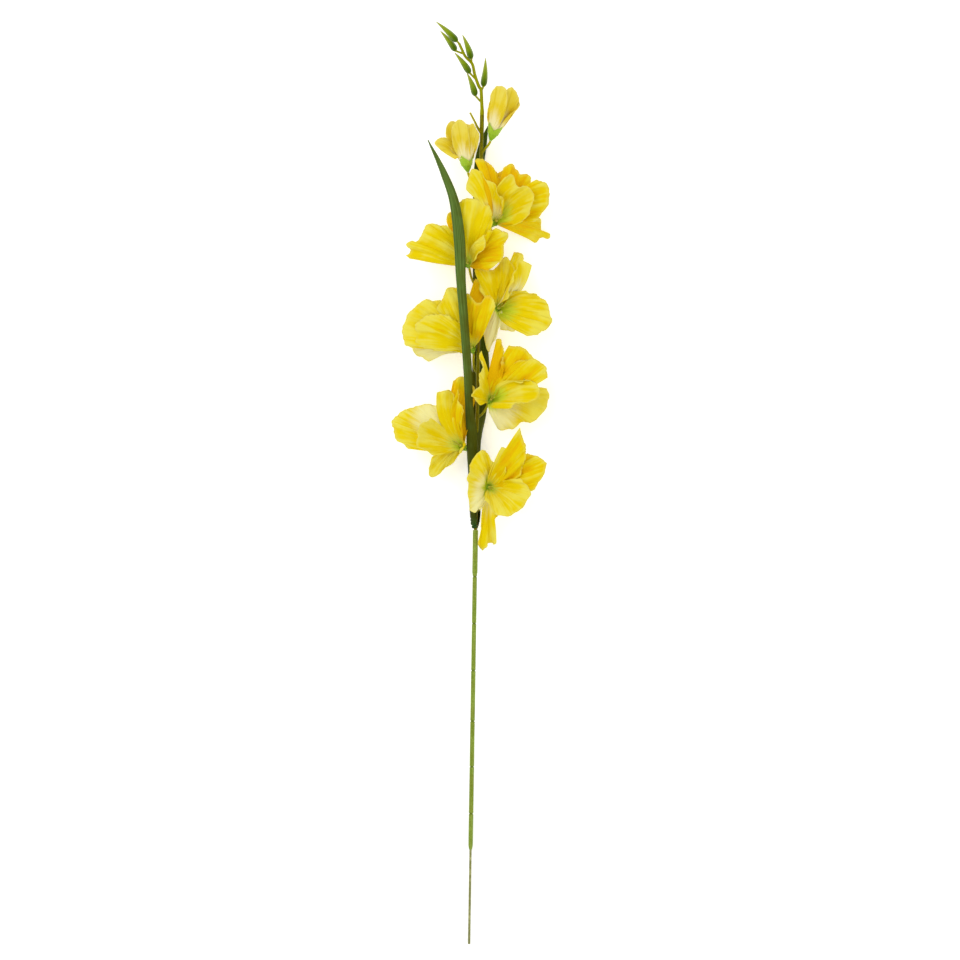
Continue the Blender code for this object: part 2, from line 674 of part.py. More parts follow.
def make_calyx(name, flower, shape, parent):
    """A green cone behind the flower, with pointed lobes that stand round the hub."""
    axis = Vector(flower["axis"]).normalized()
    seat = Vector(flower["seat"])
    length = shape["calyx_length"]
    radii = shape["calyx_radii"]
    base = seat - axis * length
    steps = [index / (len(radii) - 1) for index in range(len(radii))]
    bm = bmesh.new()
    tube(bm, [base + axis * (length * step) for step in steps], radii, 8)
    made = new_object(name, bm)
    turned = facing(axis)
    top = radii[-1]
    slope = (radii[-1] - radii[-2]) / (length / (len(radii) - 1))

    def lobe_point(middle, u, v):
        height = mix(-2.0, shape["lobe_length"], u)
        angle = math.radians(middle + v * LOBE_HALF_ANGLE * (1.0 - 0.9 * u * u))
        radius = top - 0.1 + slope * height * (1.0 if height > 0.0 else 1.2)
        return seat + turned @ Vector((radius * math.cos(angle), radius * math.sin(angle), height))

    lobes = [
        blade(f"{name}_lobe_{middle:.0f}", 2, 2, lambda u, v, m=middle: lobe_point(m, u, v), LOBE_THICKNESS)
        for middle in LOBE_ANGLES
    ]
    return finish(fuse(made, lobes), "calyx plastic", parent)


def make_stamens(name, flower, parent):
    """Three short filaments on a button that stands on the hub, deep in the throat."""
    axis = Vector(flower["axis"]).normalized()
    foot = Vector(flower["seat"]) + axis * (HUB_LENGTH + GAP)
    turned = facing(axis)
    bm = bmesh.new()
    tube(bm, (foot, foot + axis * 1.6), (STAMEN_BUTTON_RADIUS, 1.1), 6)
    made = new_object(name, bm)
    filaments = []
    for number, angle in enumerate((20.0, 140.0, 260.0)):
        lean = turned @ Vector((math.cos(math.radians(angle)), math.sin(math.radians(angle)), 0.0))
        start = foot + axis * 0.8 + lean * 0.4
        middle = foot + axis * (0.6 * FILAMENT_LENGTH) + lean * 0.9
        end = foot + axis * FILAMENT_LENGTH + lean * 1.8
        bm = bmesh.new()
        tube(bm, (start, middle, end), (FILAMENT_RADIUS, FILAMENT_RADIUS, 0.8), 4)
        filaments.append(new_object(f"{name}_filament_{number}", bm))
    return finish(fuse(made, filaments), "stamen plastic", parent)


def make_leaf(name, stations, parent):
    """A sword blade through its stations, curved across its width."""
    count = len(stations) - 1

    def station(value, index):
        found = stations[min(max(index, 0), count)][value]
        return Vector(found) if isinstance(found, tuple) else found

    def along_leaf(value, u):
        place = min(u * count, count - 1e-6)
        index = int(place)
        values = [station(value, index + offset) for offset in (-1, 0, 1, 2)]
        return catmull(*values, place - index)

    def leaf_point(u, v):
        centre = along_leaf(0, u)
        tangent = (along_leaf(0, min(u + 0.01, 1.0)) - along_leaf(0, max(u - 0.01, 0.0))).normalized()
        outer = along_leaf(2, u)
        outer = (outer - tangent * outer.dot(tangent)).normalized()
        across = tangent.cross(outer)
        bend = max(along_leaf(3, u), 2.5)
        x = v * max(along_leaf(1, u), LEAF_TIP_HALF_WIDTH)
        point = centre + across * (bend * math.sin(x / bend)) - outer * (bend * (1.0 - math.cos(x / bend)))
        return settle(point)

    made = blade(name, LEAF_ROWS, LEAF_COLUMNS, leaf_point, LEAF_THICKNESS)
    rest_flat(made)
    return finish(made, "leaf fabric", parent)


def turned_rod(profile, sides):
    """A rod or tube turned about the stem's axis. The profile lists (distance along, radius)."""
    bm = bmesh.new()
    start = stem_point(BUTT_Y)
    side = facing(STEM_DIRECTION) @ Vector((1.0, 0.0, 0.0))
    verts = [bm.verts.new(start + STEM_DIRECTION * along + side * radius) for along, radius in profile]
    edges = [bm.edges.new((one, two)) for one, two in zip(verts, verts[1:] + verts[:1])]
    bmesh.ops.spin(
        bm, geom=verts + edges, cent=start, axis=STEM_DIRECTION, angle=2.0 * math.pi, steps=sides, use_merge=True
    )
    return bm


def along_stem(y):
    """Distance from the wire's butt end to where the stem passes y."""
    return (stem_point(y) - stem_point(BUTT_Y)).length


def make_wire(parent):
    bm = bmesh.new()
    tube(bm, (stem_point(BUTT_Y), stem_point(WIRE_TOP_Y)), (WIRE_RADIUS, WIRE_RADIUS), 10)
    return finish(new_object("wire_core", bm, stem_point(BUTT_Y)), "steel wire", parent)


def make_sleeve(parent):
    """The lower sleeve: a tapered end, then a shallow groove at each ring."""
    outer = [
        (along_stem(SLEEVE_BOTTOM_Y), BORE_RADIUS + 0.35),
        (along_stem(SLEEVE_BOTTOM_Y) + SLEEVE_TAPER, SLEEVE_RADIUS),
    ]
    for y in RING_Y:
        middle = along_stem(y)
        outer += [
            (middle - RING_HALF_LENGTH, SLEEVE_RADIUS),
            (middle, SLEEVE_RADIUS - RING_DEPTH),
            (middle + RING_HALF_LENGTH, SLEEVE_RADIUS),
        ]
    outer.append((along_stem(SLEEVE_TOP_Y), SLEEVE_RADIUS))
    inner = [(along_stem(SLEEVE_TOP_Y), BORE_RADIUS), (along_stem(SLEEVE_BOTTOM_Y), BORE_RADIUS)]
    made = new_object("stem_sleeve", turned_rod(outer + inner, 10), stem_point(SLEEVE_BOTTOM_Y))
    return finish(made, "sleeve plastic", parent)


def peg(flower, shape):
    """The peg that leaves the stem and ends square on the flower's axis, just behind its calyx."""
    axis = Vector(flower["axis"]).normalized()
    start = stem_point(flower["peg_y"])
    end = Vector(flower["seat"]) - axis * (shape["calyx_length"] + GAP)
    reach = (end - start).length
    pull_start = start + Vector(flower["peg_direction"]).normalized() * (0.45 * reach)
    pull_end = end - axis * (0.35 * reach)
    points = [bezier(start, pull_start, pull_end, end, step / PEG_STEPS) for step in range(PEG_STEPS)]
    points += [end - axis * 0.8, end]
    bm = bmesh.new()
    tube(bm, points, [PEG_RADIUS] * len(points), 6)
    return new_object("peg_" + flower["name"], bm)


def make_flower_stem(parent):
    bottom = stem_point(SLEEVE_TOP_Y) + STEM_DIRECTION * GAP
    top = stem_point(FLOWER_STEM_TOP_Y)
    bm = bmesh.new()
    tube(bm, (bottom, top), (FLOWER_STEM_RADIUS, FLOWER_STEM_RADIUS), 10)
    made = new_object("flower_stem", bm)
    pegs = [peg(flower, OPEN_SHAPE) for flower in BLOOMS]
    pegs += [peg(flower, HALF_OPEN_SHAPE) for flower in HALF_OPEN]
    bm = bmesh.new()
    tube(bm, (stem_point(379.0), *SIDE_PEG), (1.2, 1.0, 0.8, 0.6), 6)
    pegs.append(new_object("peg_side", bm))
    fuse(made, pegs)
    bm = bmesh.new()
    ends = (bottom - STEM_DIRECTION * 2.0, top + STEM_DIRECTION * 2.0)
    tube(bm, ends, (BORE_RADIUS, BORE_RADIUS), 8)
    cut(made, new_object("stem_bore", bm))
    keep_outer_shell(made)
    return finish(made, "olive stem plastic", parent)


def make_bud_sprig(parent):
    """One moulded piece: a spigot in the flower stem, a collar, the stalk and its buds."""
    top = stem_point(FLOWER_STEM_TOP_Y)
    collar = [top + STEM_DIRECTION * GAP, top + STEM_DIRECTION * 7.0]
    bm = bmesh.new()
    tube(bm, collar, (2.4, 2.2), 10)
    made = new_object("bud_sprig", bm)
    bm = bmesh.new()
    tube(bm, (top - STEM_DIRECTION * 8.0, top + STEM_DIRECTION * 1.0), (1.0, 1.0), 8)
    pieces = [new_object("spigot", bm)]
    stalk = [collar[1] - STEM_DIRECTION * 1.0] + [Vector(point) for point in SPRIG_STALK[1:]]
    radii = [mix(1.7, 0.9, index / (len(stalk) - 1)) for index in range(len(stalk))]
    bm = bmesh.new()
    tube(bm, stalk, radii, 6)
    pieces.append(new_object("stalk", bm))
    for number, bud in enumerate(BUDS):
        joint, base, tip = Vector(bud["joint"]), Vector(bud["base"]), Vector(bud["tip"])
        body = [mix(base, tip, share) for share in (0.0, 0.1, 0.28, 0.5, 0.75, 1.0)]
        shape = [BUD_RADIUS * share for share in (0.45, 0.88, 1.0, 0.72, 0.38, 0.14)]
        bm = bmesh.new()
        tube(bm, [joint, mix(joint, base, 0.6)] + body, [BUD_STALK_RADIUS, BUD_STALK_RADIUS] + shape, 6)
        pieces.append(new_object(f"bud_{number}", bm))
    return finish(fuse(made, pieces), "bud plastic", parent)


def main():
    clear_scene()
    root = bpy.data.objects.new("gladiolus", None)
    bpy.context.scene.collection.objects.link(root)
    make_wire(root)
    make_sleeve(root)
    make_flower_stem(root)
    make_bud_sprig(root)
    for flower in BLOOMS:
        number = flower["name"]
        make_bloom(f"bloom_{number}", flower, OPEN_SHAPE, root)
        make_calyx(f"calyx_{number}", flower, OPEN_SHAPE, root)
        make_stamens(f"stamens_{number}", flower, root)
    for flower in HALF_OPEN:
        side = flower["name"]
        make_bloom(f"half_open_{side}", flower, HALF_OPEN_SHAPE, root)
        make_calyx(f"calyx_{side}", flower, HALF_OPEN_SHAPE, root)
    for name, stations in LEAVES.items():
        make_leaf(name, stations, root)


main()
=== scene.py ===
# Looks of the artificial gladiolus stem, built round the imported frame.
# Run it with Blender 4.5. The stem lies on its back along +Y and the camera looks straight down on it.

import math

import bmesh
import bpy
from mathutils import Matrix, Vector, noise


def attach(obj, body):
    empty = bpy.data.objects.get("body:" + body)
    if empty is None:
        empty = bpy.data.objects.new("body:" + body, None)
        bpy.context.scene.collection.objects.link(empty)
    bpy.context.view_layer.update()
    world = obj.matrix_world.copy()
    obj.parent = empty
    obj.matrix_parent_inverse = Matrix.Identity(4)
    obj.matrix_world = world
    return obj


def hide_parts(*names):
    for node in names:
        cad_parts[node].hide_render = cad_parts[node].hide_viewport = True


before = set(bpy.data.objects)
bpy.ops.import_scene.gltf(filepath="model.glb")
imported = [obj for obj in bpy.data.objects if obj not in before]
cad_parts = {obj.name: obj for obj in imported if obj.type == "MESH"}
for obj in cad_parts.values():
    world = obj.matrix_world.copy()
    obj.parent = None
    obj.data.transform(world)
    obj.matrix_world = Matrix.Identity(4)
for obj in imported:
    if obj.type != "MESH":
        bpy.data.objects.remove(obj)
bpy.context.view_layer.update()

mm = 0.001
print("frame loaded:", len(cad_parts), "nodes")


# Small helpers

def mix(start, end, share):
    return start + (end - start) * share


def smooth(value):
    value = min(max(value, 0.0), 1.0)
    return value * value * (3.0 - 2.0 * value)


def bezier(start, pullStart, pullEnd, end, share):
    rest = 1.0 - share
    return (
        start * rest**3
        + pullStart * 3.0 * rest * rest * share
        + pullEnd * 3.0 * rest * share * share
        + end * share**3
    )


def catmull(before, start, end, after, share):
    return 0.5 * (
        2.0 * start
        + (end - before) * share
        + (2.0 * before - 5.0 * start + 4.0 * end - after) * share**2
        + (3.0 * start - before - 3.0 * end + after) * share**3
    )


def wander(*place):
    # smooth noise, about -1 to 1, the same on every run
    return noise.noise(Vector((list(place) + [0.0, 0.0])[:3]))


def settle(point, lowest=0.25, softness=0.6):
    # what would sink into the surface bends flat onto it
    depth = (point.z - lowest) / softness
    if depth < 12.0:
        point.z = lowest + softness * math.log1p(math.exp(depth))
    return point


def hexColour(text):
    # an sRGB hex value as the linear colour that nodes take
    parts = [int(text[index:index + 2], 16) / 255.0 for index in (1, 3, 5)]
    linear = [part / 12.92 if part <= 0.04045 else ((part + 0.055) / 1.055) ** 2.4 for part in parts]
    return (*linear, 1.0)


def addNode(tree, kind, inputs=None, **settings):
    # each input takes a value or the output of another node, and the node's own outputs come back
    node = tree.nodes.new(kind)
    for key, value in settings.items():
        setattr(node, key, value)
    for key, value in (inputs or {}).items():
        if isinstance(value, bpy.types.NodeSocket):
            tree.links.new(value, node.inputs[key])
        else:
            node.inputs[key].default_value = value
    return node.outputs


def newMaterial(name, **sockets):
    material = bpy.data.materials.new(name)
    material.use_nodes = True
    shader = material.node_tree.nodes["Principled BSDF"]
    for key, value in sockets.items():
        shader.inputs[key.replace("_", " ")].default_value = value
    return material, material.node_tree, shader


def finishPiece(name, bm, material, slot, *nodes, sharpAngle=50.0):
    # turns a bmesh in millimetres into a piece of the scene that stands for the nodes
    bmesh.ops.scale(bm, vec=(mm, mm, mm), verts=bm.verts)
    mesh = bpy.data.meshes.new(name)
    bm.to_mesh(mesh)
    bm.free()
    mesh.shade_smooth()
    mesh.set_sharp_from_angle(angle=math.radians(sharpAngle))
    mesh.materials.append(material)
    piece = bpy.data.objects.new(name, mesh)
    bpy.context.scene.collection.objects.link(piece)
    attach(piece, "root")
    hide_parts(*nodes)
    return piece


def addWall(piece, thickness):
    wall = piece.modifiers.new("wall", "SOLIDIFY")
    wall.thickness = thickness * mm
    wall.offset = 0.0


def pathFrames(points):
    # a frame at each point, with +Z along the path and as little twist as can be
    frames = []
    turned = None
    for index, point in enumerate(points):
        tangent = (points[min(index + 1, len(points) - 1)] - points[max(index - 1, 0)]).normalized()
        if turned is None:
            turned = tangent.to_track_quat("Z", "Y")
        else:
            turned = (turned @ Vector((0.0, 0.0, 1.0))).rotation_difference(tangent) @ turned
        frames.append(Matrix.Translation(point) @ turned.to_matrix().to_4x4())
    return frames


def addRod(bm, points, radii, sides):
    # a closed round rod along the points, extruded ring by ring from a disc
    frames = [
        place @ Matrix.Diagonal((radius, radius, radius, 1.0))
        for place, radius in zip(pathFrames(points), radii)
    ]
    disc = bmesh.ops.create_circle(bm, cap_ends=True, segments=sides, radius=1.0, matrix=frames[0])
    made = list(disc["verts"])
    cap = made[0].link_faces[0]
    inner = []
    for before, after in zip(frames, frames[1:]):
        grown = bmesh.ops.extrude_face_region(bm, geom=[cap])["geom"]
        ring = [item for item in grown if isinstance(item, bmesh.types.BMVert)]
        inner.append(cap)
        cap = next(item for item in grown if isinstance(item, bmesh.types.BMFace))
        bmesh.ops.transform(bm, matrix=after @ before.inverted(), verts=ring)
        made += ring
    bmesh.ops.delete(bm, geom=inner[1:], context="FACES_ONLY")
    faces = list({face for vert in made if vert.is_valid for face in vert.link_faces})
    bmesh.ops.recalc_face_normals(bm, faces=faces)
    return made


def curveThrough(points, parts):
    # a smooth path through the points, in so many parts from each to the next
    last = len(points) - 1
    path = []
    for index in range(last):
        before, after = points[max(index - 1, 0)], points[min(index + 2, last)]
        for part in range(parts):
            path.append(catmull(before, points[index], points[index + 1], after, part / parts))
    return path + [points[-1]]


def taper(start, end, count):
    return [mix(start, end, step / (count - 1)) for step in range(count)]


# The stem's line, as the frame has it

stemLine = {"buttY": -500.0, "xAtOrigin": 4.8, "lean": 0.0156, "rise": 0.032, "wireRadius": 1.0}


def stemPoint(y):
    height = stemLine["wireRadius"] + stemLine["rise"] * (y - stemLine["buttY"])
    return Vector((stemLine["xAtOrigin"] + stemLine["lean"] * y, y, height))


stemDirection = (stemPoint(1.0) - stemPoint(0.0)).normalized()


# Petals: the rims and seats follow the frame's own, in millimetres

tints = {
    # how golden, how far up the cream and the green reach, which side is creamier, how broad the claw is
    # deep: the deepest gold, given mostly to rear petals lying in shade, so there it is partly painted
    # shade
    "deep": (1.0, 0.0, 0.3, 0.0, 0.2),
    "gold": (0.72, 0.05, 0.4, 0.0, 0.2),
    "yellow": (0.4, 0.15, 0.55, 0.0, 0.2),
    "washed": (0.45, 0.9, 0.3, 0.0, 0.2),
    "washedStart": (0.4, 1.7, 0.3, -1.0, 0.2),
    "pale": (0.15, 0.25, 0.8, 0.0, 0.22),
    "claw": (0.2, 0.4, 1.6, 0.0, 0.42),
    "clawStart": (0.15, 1.5, 1.7, -0.9, 0.3),
    "clawEnd": (0.25, 1.5, 1.5, 0.9, 0.3),
    "creamClaw": (0.1, 1.3, 1.3, 0.0, 0.3),
    "cream": (0.1, 2.4, 1.1, 0.0, 0.2),
    "bud": (0.3, 0.95, 0.0, 0.0, 0.15),
}


def petal(tint, curl, *rim):
    # a petal's tint, backward curl and rim, from one side of the root round the tip to the other
    rim = [Vector(point) for point in rim]
    marks = [0.0]
    for before, after in zip(rim, rim[1:]):
        marks.append(marks[-1] + (after - before).length)
    return {"tint": tint, "curl": curl, "rim": rim, "marks": marks, "middle": sum(rim, Vector()) / len(rim)}


flowers = (
    {
        "name": "1", "pegY": -30.0, "pegWay": (1.0, 0.5, -0.35),
        "seat": (18.0, -3.0, 25.0), "axis": (0.22, -0.10, 0.97),
        "petals": (
            petal("gold", 0.2, (51, 61, 59), (57, 45, 56), (59, 34, 53), (53, 10, 47)),
            petal("gold", 0.3, (60, 33, 42), (70, 30, 40), (80, 23, 38), (80, 16, 40), (72, 0, 41),
                  (64, -7, 40)),
            petal("pale", 0.3, (53, 6, 54), (64, -9, 57), (61, -17, 60), (44, -33, 60), (35, -35, 58),
                  (26, -32, 55), (14, -18, 46)),
            petal("clawEnd", 0.2, (25, 23, 44), (11, 37, 48), (-3, 14, 52), (-4, 1, 52), (-1, -28, 47),
                  (3, -31, 44), (13, -21, 38)),
            petal("yellow", 0.1, (30, 37, 52), (33, 40, 53), (38, 38, 54), (37, 13, 48)),
            petal("washed", 0.5, (7, -47, 20), (9, -57, 21), (7, -68, 18), (10, -72, 17), (15, -69, 20),
                  (18, -65, 18), (24, -65, 20), (25, -44, 24), (28, -35, 28)),
        ),
    },
    {
        "name": "2", "pegY": 14.0, "pegWay": (-1.0, 0.6, -0.3),
        "seat": (-9.0, 40.0, 24.0), "axis": (-0.55, 0.30, 0.78),
        "petals": (
            petal("washedStart", 0.3, (-32, 80, 36), (-41, 86, 34), (-59, 86, 34), (-77, 78, 34),
                  (-83, 73, 36), (-86, 68, 33), (-86, 61, 35), (-81, 48, 35), (-68, 38, 34)),
            petal("pale", 0.2, (-45, 72, 50), (-55, 64, 56), (-59, 56, 59), (-59, 48, 58),
                  (-54, 39, 60), (-40, 31, 55)),
            petal("pale", 0.3, (-42, 30, 34), (-47, 14, 24), (-45, 8, 20), (-42, 7, 20), (-18, 25, 26),
                  (-14, 32, 29), (-10, 36, 31), (-7, 43, 34), (-8, 48, 38)),
            petal("yellow", 0.2, (-38, 99, 47), (-25, 102, 40), (-20, 99, 38), (-19, 92, 40)),
            petal("gold", 0.1, (-14, 103, 54), (-15, 93, 52), (-10, 83, 52), (-13, 66, 46)),
            petal("deep", 0.1, (-20, 112, 30), (-14, 116, 29), (-7, 115, 27), (1, 107, 26),
                  (6, 95, 25)),
        ),
    },
    {
        "name": "3", "pegY": 72.0, "pegWay": (1.0, 0.5, -0.4),
        "seat": (20.0, 90.0, 24.0), "axis": (0.20, 0.30, 0.93),
        "petals": (
            petal("yellow", 0.1, (10, 144, 51), (10, 127, 54), (4, 100, 53), (-1, 95, 52), (4, 91, 50),
                  (11, 88, 47)),
            petal("deep", 0.3, (27, 156, 38), (32, 155, 40), (34, 140, 42), (32, 130, 43)),
            petal("gold", 0.3, (40, 150, 38), (49, 149, 36), (59, 146, 38), (64, 140, 37),
                  (68, 132, 36)),
            petal("gold", 0.3, (40, 127, 40), (52, 134, 43), (67, 135, 44), (76, 131, 46),
                  (80, 126, 45), (82, 115, 47)),
            petal("claw", 0.3, (49, 113, 53), (66, 111, 56), (73, 103, 58), (71, 93, 56), (58, 88, 58),
                  (48, 87, 56), (39, 82, 57)),
            petal("clawStart", 0.3, (26, 70, 23), (31, 62, 22), (36, 59, 24), (46, 61, 27), (53, 65, 28),
                  (66, 68, 31), (75, 75, 33), (81, 84, 36), (84, 95, 38), (81, 103, 40)),
        ),
    },
    {
        "name": "4", "pegY": 120.0, "pegWay": (-1.0, 0.7, -0.5),
        "seat": (0.0, 146.0, 27.0), "axis": (-0.15, 0.35, 0.92),
        "petals": (
            petal("yellow", 0.3, (-34, 198, 38), (-44, 199, 36), (-56, 196, 39), (-66, 188, 36),
                  (-73, 176, 39), (-75, 164, 37), (-74, 155, 39), (-65, 147, 37)),
            petal("cream", 0.3, (-66, 152, 22), (-59, 141, 20), (-49, 136, 18), (-36, 138, 20)),
            petal("yellow", 0.3, (-37, 184, 42), (-36, 194, 44), (-30, 206, 45), (-25, 212, 43),
                  (-18, 213, 44), (-12, 210, 42)),
            petal("gold", 0.2, (-10, 194, 50), (-5, 206, 52), (5, 196, 52), (11, 198, 55),
                  (14, 203, 57), (18, 204, 58), (22, 202, 58), (25, 192, 57)),
            petal("deep", 0.3, (4, 223, 31), (9, 221, 30), (16, 215, 28), (19, 207, 27), (18, 188, 28)),
            petal("yellow", 0.3, (-33, 150, 12), (-46, 167, 9), (-51, 181, 8), (-42, 188, 9),
                  (-26, 184, 12)),
            petal("yellow", 0.5, (-13, 174, 50), (-27, 181, 50), (-45, 183, 48), (-57, 176, 46),
                  (-61, 168, 45), (-60, 154, 43), (-47, 146, 42), (-30, 146, 42)),
        ),
    },
    {
        "name": "5", "pegY": 167.0, "pegWay": (1.0, 0.5, -0.5),
        "seat": (27.0, 189.0, 24.0), "axis": (0.40, 0.30, 0.86),
        "petals": (
            petal("yellow", 0.3, (12, 206, 36), (6, 220, 37), (3, 234, 35), (11, 232, 37),
                  (22, 232, 36), (35, 245, 36), (40, 244, 37), (46, 234, 38), (45, 219, 39),
                  (38, 204, 40)),
            petal("yellow", 0.3, (46, 253, 26), (52, 251, 26), (55, 240, 27), (51, 225, 29)),
            petal("creamClaw", 0.2, (39, 200, 50), (47, 227, 55), (51, 235, 54), (56, 241, 49),
                  (63, 237, 45)),
            petal("claw", 0.3, (51, 207, 40), (60, 209, 42), (71, 205, 40), (80, 198, 42),
                  (84, 190, 40), (84, 184, 42), (87, 178, 40), (84, 170, 42), (76, 166, 40),
                  (71, 161, 42), (57, 161, 40)),
            petal("cream", 0.6, (18, 182, 30), (13, 169, 32), (14, 152, 32), (19, 143, 31),
                  (26, 160, 32), (33, 172, 30)),
            petal("cream", 0.3, (31, 167, 16), (39, 168, 14), (47, 166, 12), (51, 173, 14)),
        ),
    },
    {
        "name": "6", "pegY": 211.0, "pegWay": (-1.0, 0.7, -0.4),
        "seat": (-4.0, 238.0, 28.0), "axis": (-0.10, 0.30, 0.95),
        "petals": (
            petal("yellow", 0.3, (-27, 278, 44), (-44, 281, 46), (-50, 280, 44), (-56, 266, 44),
                  (-65, 263, 46), (-70, 260, 44), (-67, 253, 42), (-72, 247, 41), (-66, 243, 39)),
            petal("deep", 0.3, (-27, 274, 33), (-26, 287, 32), (-24, 294, 31), (-18, 296, 30),
                  (-13, 294, 30)),
            petal("yellow", 0.3, (-18, 279, 46), (-15, 303, 48), (-8, 309, 48), (4, 308, 47), (14, 304, 47),
                  (20, 298, 47), (23, 288, 48), (21, 276, 50), (14, 268, 51)),
            petal("pale", 0.3, (14, 269, 61), (13, 259, 60), (9, 251, 58), (3, 244, 55)),
            petal("gold", 0.3, (26, 277, 46), (38, 270, 44), (39, 266, 44), (35, 259, 46),
                  (34, 247, 49), (31, 240, 51), (24, 234, 53), (16, 232, 53)),
            petal("gold", 0.3, (-43, 245, 0), (-56, 249, -1), (-62, 258, -1), (-54, 267, 0),
                  (-33, 262, 5)),
        ),
    },
    {
        "name": "7", "pegY": 261.0, "pegWay": (1.0, 0.6, -0.4),
        "seat": (24.0, 283.0, 27.0), "axis": (0.45, 0.40, 0.80),
        "petals": (
            petal("deep", 0.3, (3, 350, 43), (13, 351, 44), (26, 339, 42), (33, 326, 42)),
            petal("washed", 0.2, (3, 314, 44), (-4, 321, 46), (-4, 330, 47), (0, 340, 49), (6, 339, 50),
                  (12, 332, 52), (22, 326, 54), (26, 317, 55), (32, 309, 56), (33, 302, 53)),
            petal("deep", 0.3, (26, 338, 34), (44, 346, 34), (53, 335, 34), (61, 336, 35),
                  (65, 319, 34)),
            petal("claw", 0.3, (36, 332, 58), (42, 334, 59), (45, 331, 58), (48, 323, 57),
                  (53, 320, 59), (62, 320, 57), (66, 304, 57), (64, 297, 58), (60, 290, 55),
                  (54, 283, 50)),
            petal("gold", 0.3, (70, 328, 42), (79, 326, 44), (83, 320, 42), (84, 311, 44),
                  (82, 301, 42), (70, 286, 42), (60, 282, 41)),
            petal("gold", 0.3, (68, 262, -1), (75, 267, -1), (83, 268, -1), (83, 272, -1),
                  (78, 276, 0), (75, 284, 2), (66, 290, 8)),
        ),
    },
)

halfOpenFlowers = (
    {
        "name": "right", "pegY": 357.0, "pegWay": (0.5, 1.0, 0.2),
        "seat": (23.4, 381.0, 33.0), "axis": (0.32, 0.94, 0.10),
        "petals": (
            petal("bud", 0.0, (16, 397, 40), (19, 410, 40), (21, 423, 41), (27, 430, 44),
                  (33, 430, 47), (38, 425, 49), (38, 411, 50), (35, 399, 47)),
            petal("bud", 0.0, (36, 406, 48), (38, 425, 47), (43, 429, 45), (48, 424, 42), (51, 416, 39),
                  (46, 402, 38)),
            petal("bud", 0.3, (43, 402, 44), (51, 408, 41), (51, 415, 37), (48, 423, 33),
                  (42, 423, 30)),
            petal("bud", 0.0, (17, 402, 37), (21, 418, 31), (26, 428, 28), (33, 427, 26),
                  (35, 412, 25)),
            petal("bud", 0.0, (36, 424, 26), (43, 427, 28), (49, 418, 32), (46, 403, 35)),
        ),
    },
    {
        "name": "left", "pegY": 318.0, "pegWay": (-0.8, 1.0, 0.3),
        "seat": (-5.6, 347.2, 35.0), "axis": (-0.15, 0.98, 0.10),
        "petals": (
            petal("bud", 0.3, (-18, 351, 40), (-31, 359, 40), (-40, 368, 41), (-36, 374, 40),
                  (-29, 375, 41)),
            petal("bud", 0.0, (-22, 362, 36), (-28, 377, 34), (-28, 384, 33), (-24, 392, 31),
                  (-17, 392, 29), (-12, 376, 27)),
            petal("bud", 0.1, (-20, 364, 45), (-22, 378, 48), (-20, 388, 49), (-14, 394, 50),
                  (-8, 391, 51), (-4, 384, 50), (-3, 366, 48)),
            petal("bud", 0.1, (-6, 372, 48), (-4, 386, 48), (1, 390, 46), (5, 384, 44), (8, 377, 41),
                  (6, 365, 38), (2, 352, 38)),
            petal("bud", 0.0, (3, 370, 36), (0, 387, 32), (-7, 390, 29), (-13, 386, 27),
                  (-15, 370, 27)),
        ),
    },
)

openShape = {
    "rootRadius": 2.1, "flare": 0.5, "rise": 0.14, "leastRise": 5.0, "creasing": 1.0,
    "calyxLength": 11.0, "calyxRadii": (1.4, 2.9, 3.9), "lobeLength": 3.5, "lobeSlope": 0.35,
}
halfOpenShape = {
    "rootRadius": 5.6, "flare": 0.25, "rise": 0.0, "leastRise": 10.0, "creasing": 0.35,
    "calyxLength": 10.0, "calyxRadii": (1.3, 4.2, 6.4), "lobeLength": 9.0, "lobeSlope": 0.22,
}
petalForm = {
    "rows": 30, "columns": 96,
    "thickness": 0.35,  # mm, starched fabric
    "rootHeight": 2.0, "rootHalfAngle": 50.0,
    "rootStep": 0.3,  # each further petal's root lies this much outside the last
    "risePerMm": 0.0075,
    "rimPull": 0.35,  # the share of its length over which a petal straightens to the rim
    # waves: mm across, turns from foot to rim, shift in the noise
    "swell": (13.0, 1.4, 0.0),  # the broad folds that run up a petal
    "fold": (5.0, 1.7, 5.0),  # the finer folds between them
    "pleat": (2.6, 2.2, 13.0),  # pressed creases that fan out from the foot
    "crease": (17.0, 1.6, 21.0),  # the patches where the pleats are deep
    "crimp": (3.6, 4.0, 9.0),  # short crimps of the rim
    "drift": 1.5,  # how far each wave pushes the next finer one aside
    "swellDepth": 3.0, "foldDepth": 1.2, "pleatDepth": 0.5, "crimpDepth": 1.0,  # mm
    "ruffleLength": 19.0, "ruffleDepth": 1.7,  # mm, waves of the rim
    "ruffleStray": 3.0, "strayLength": 30.0,  # radians and mm, how unevenly they follow each other
    "foldsFrom": 0.45,  # the folds have their full depth from here on
    "leastPleats": 0.3, "deepPleats": 0.9, "patchEdge": 1.2,  # pleats off and on a patch, and its edge
    # the folds also tell in the colour as painted shade (deeper gold in the valleys) and painted highlight
    # (paler gold on the ridges)
    "foldShadeTone": (0.8, 0.7, 0.8, 0.3),  # how much swell, folds, pleats and ruffles tell in the colour
    "facing": (0.8, 0.6),  # the front looks up the flower's axis and in towards it
    "nibble": 0.7,  # mm, how far the cut edge strays
    "nibbles": ((4.0, 1.0, 0.0), (1.6, 0.5, 3.0), (0.9, 0.45, 6.0)),  # mm long, share, shift
    "nameSeed": 0.37, "rankSeed": 2.3,  # give each petal its own waves
    "sharpAngle": 75.0,
}


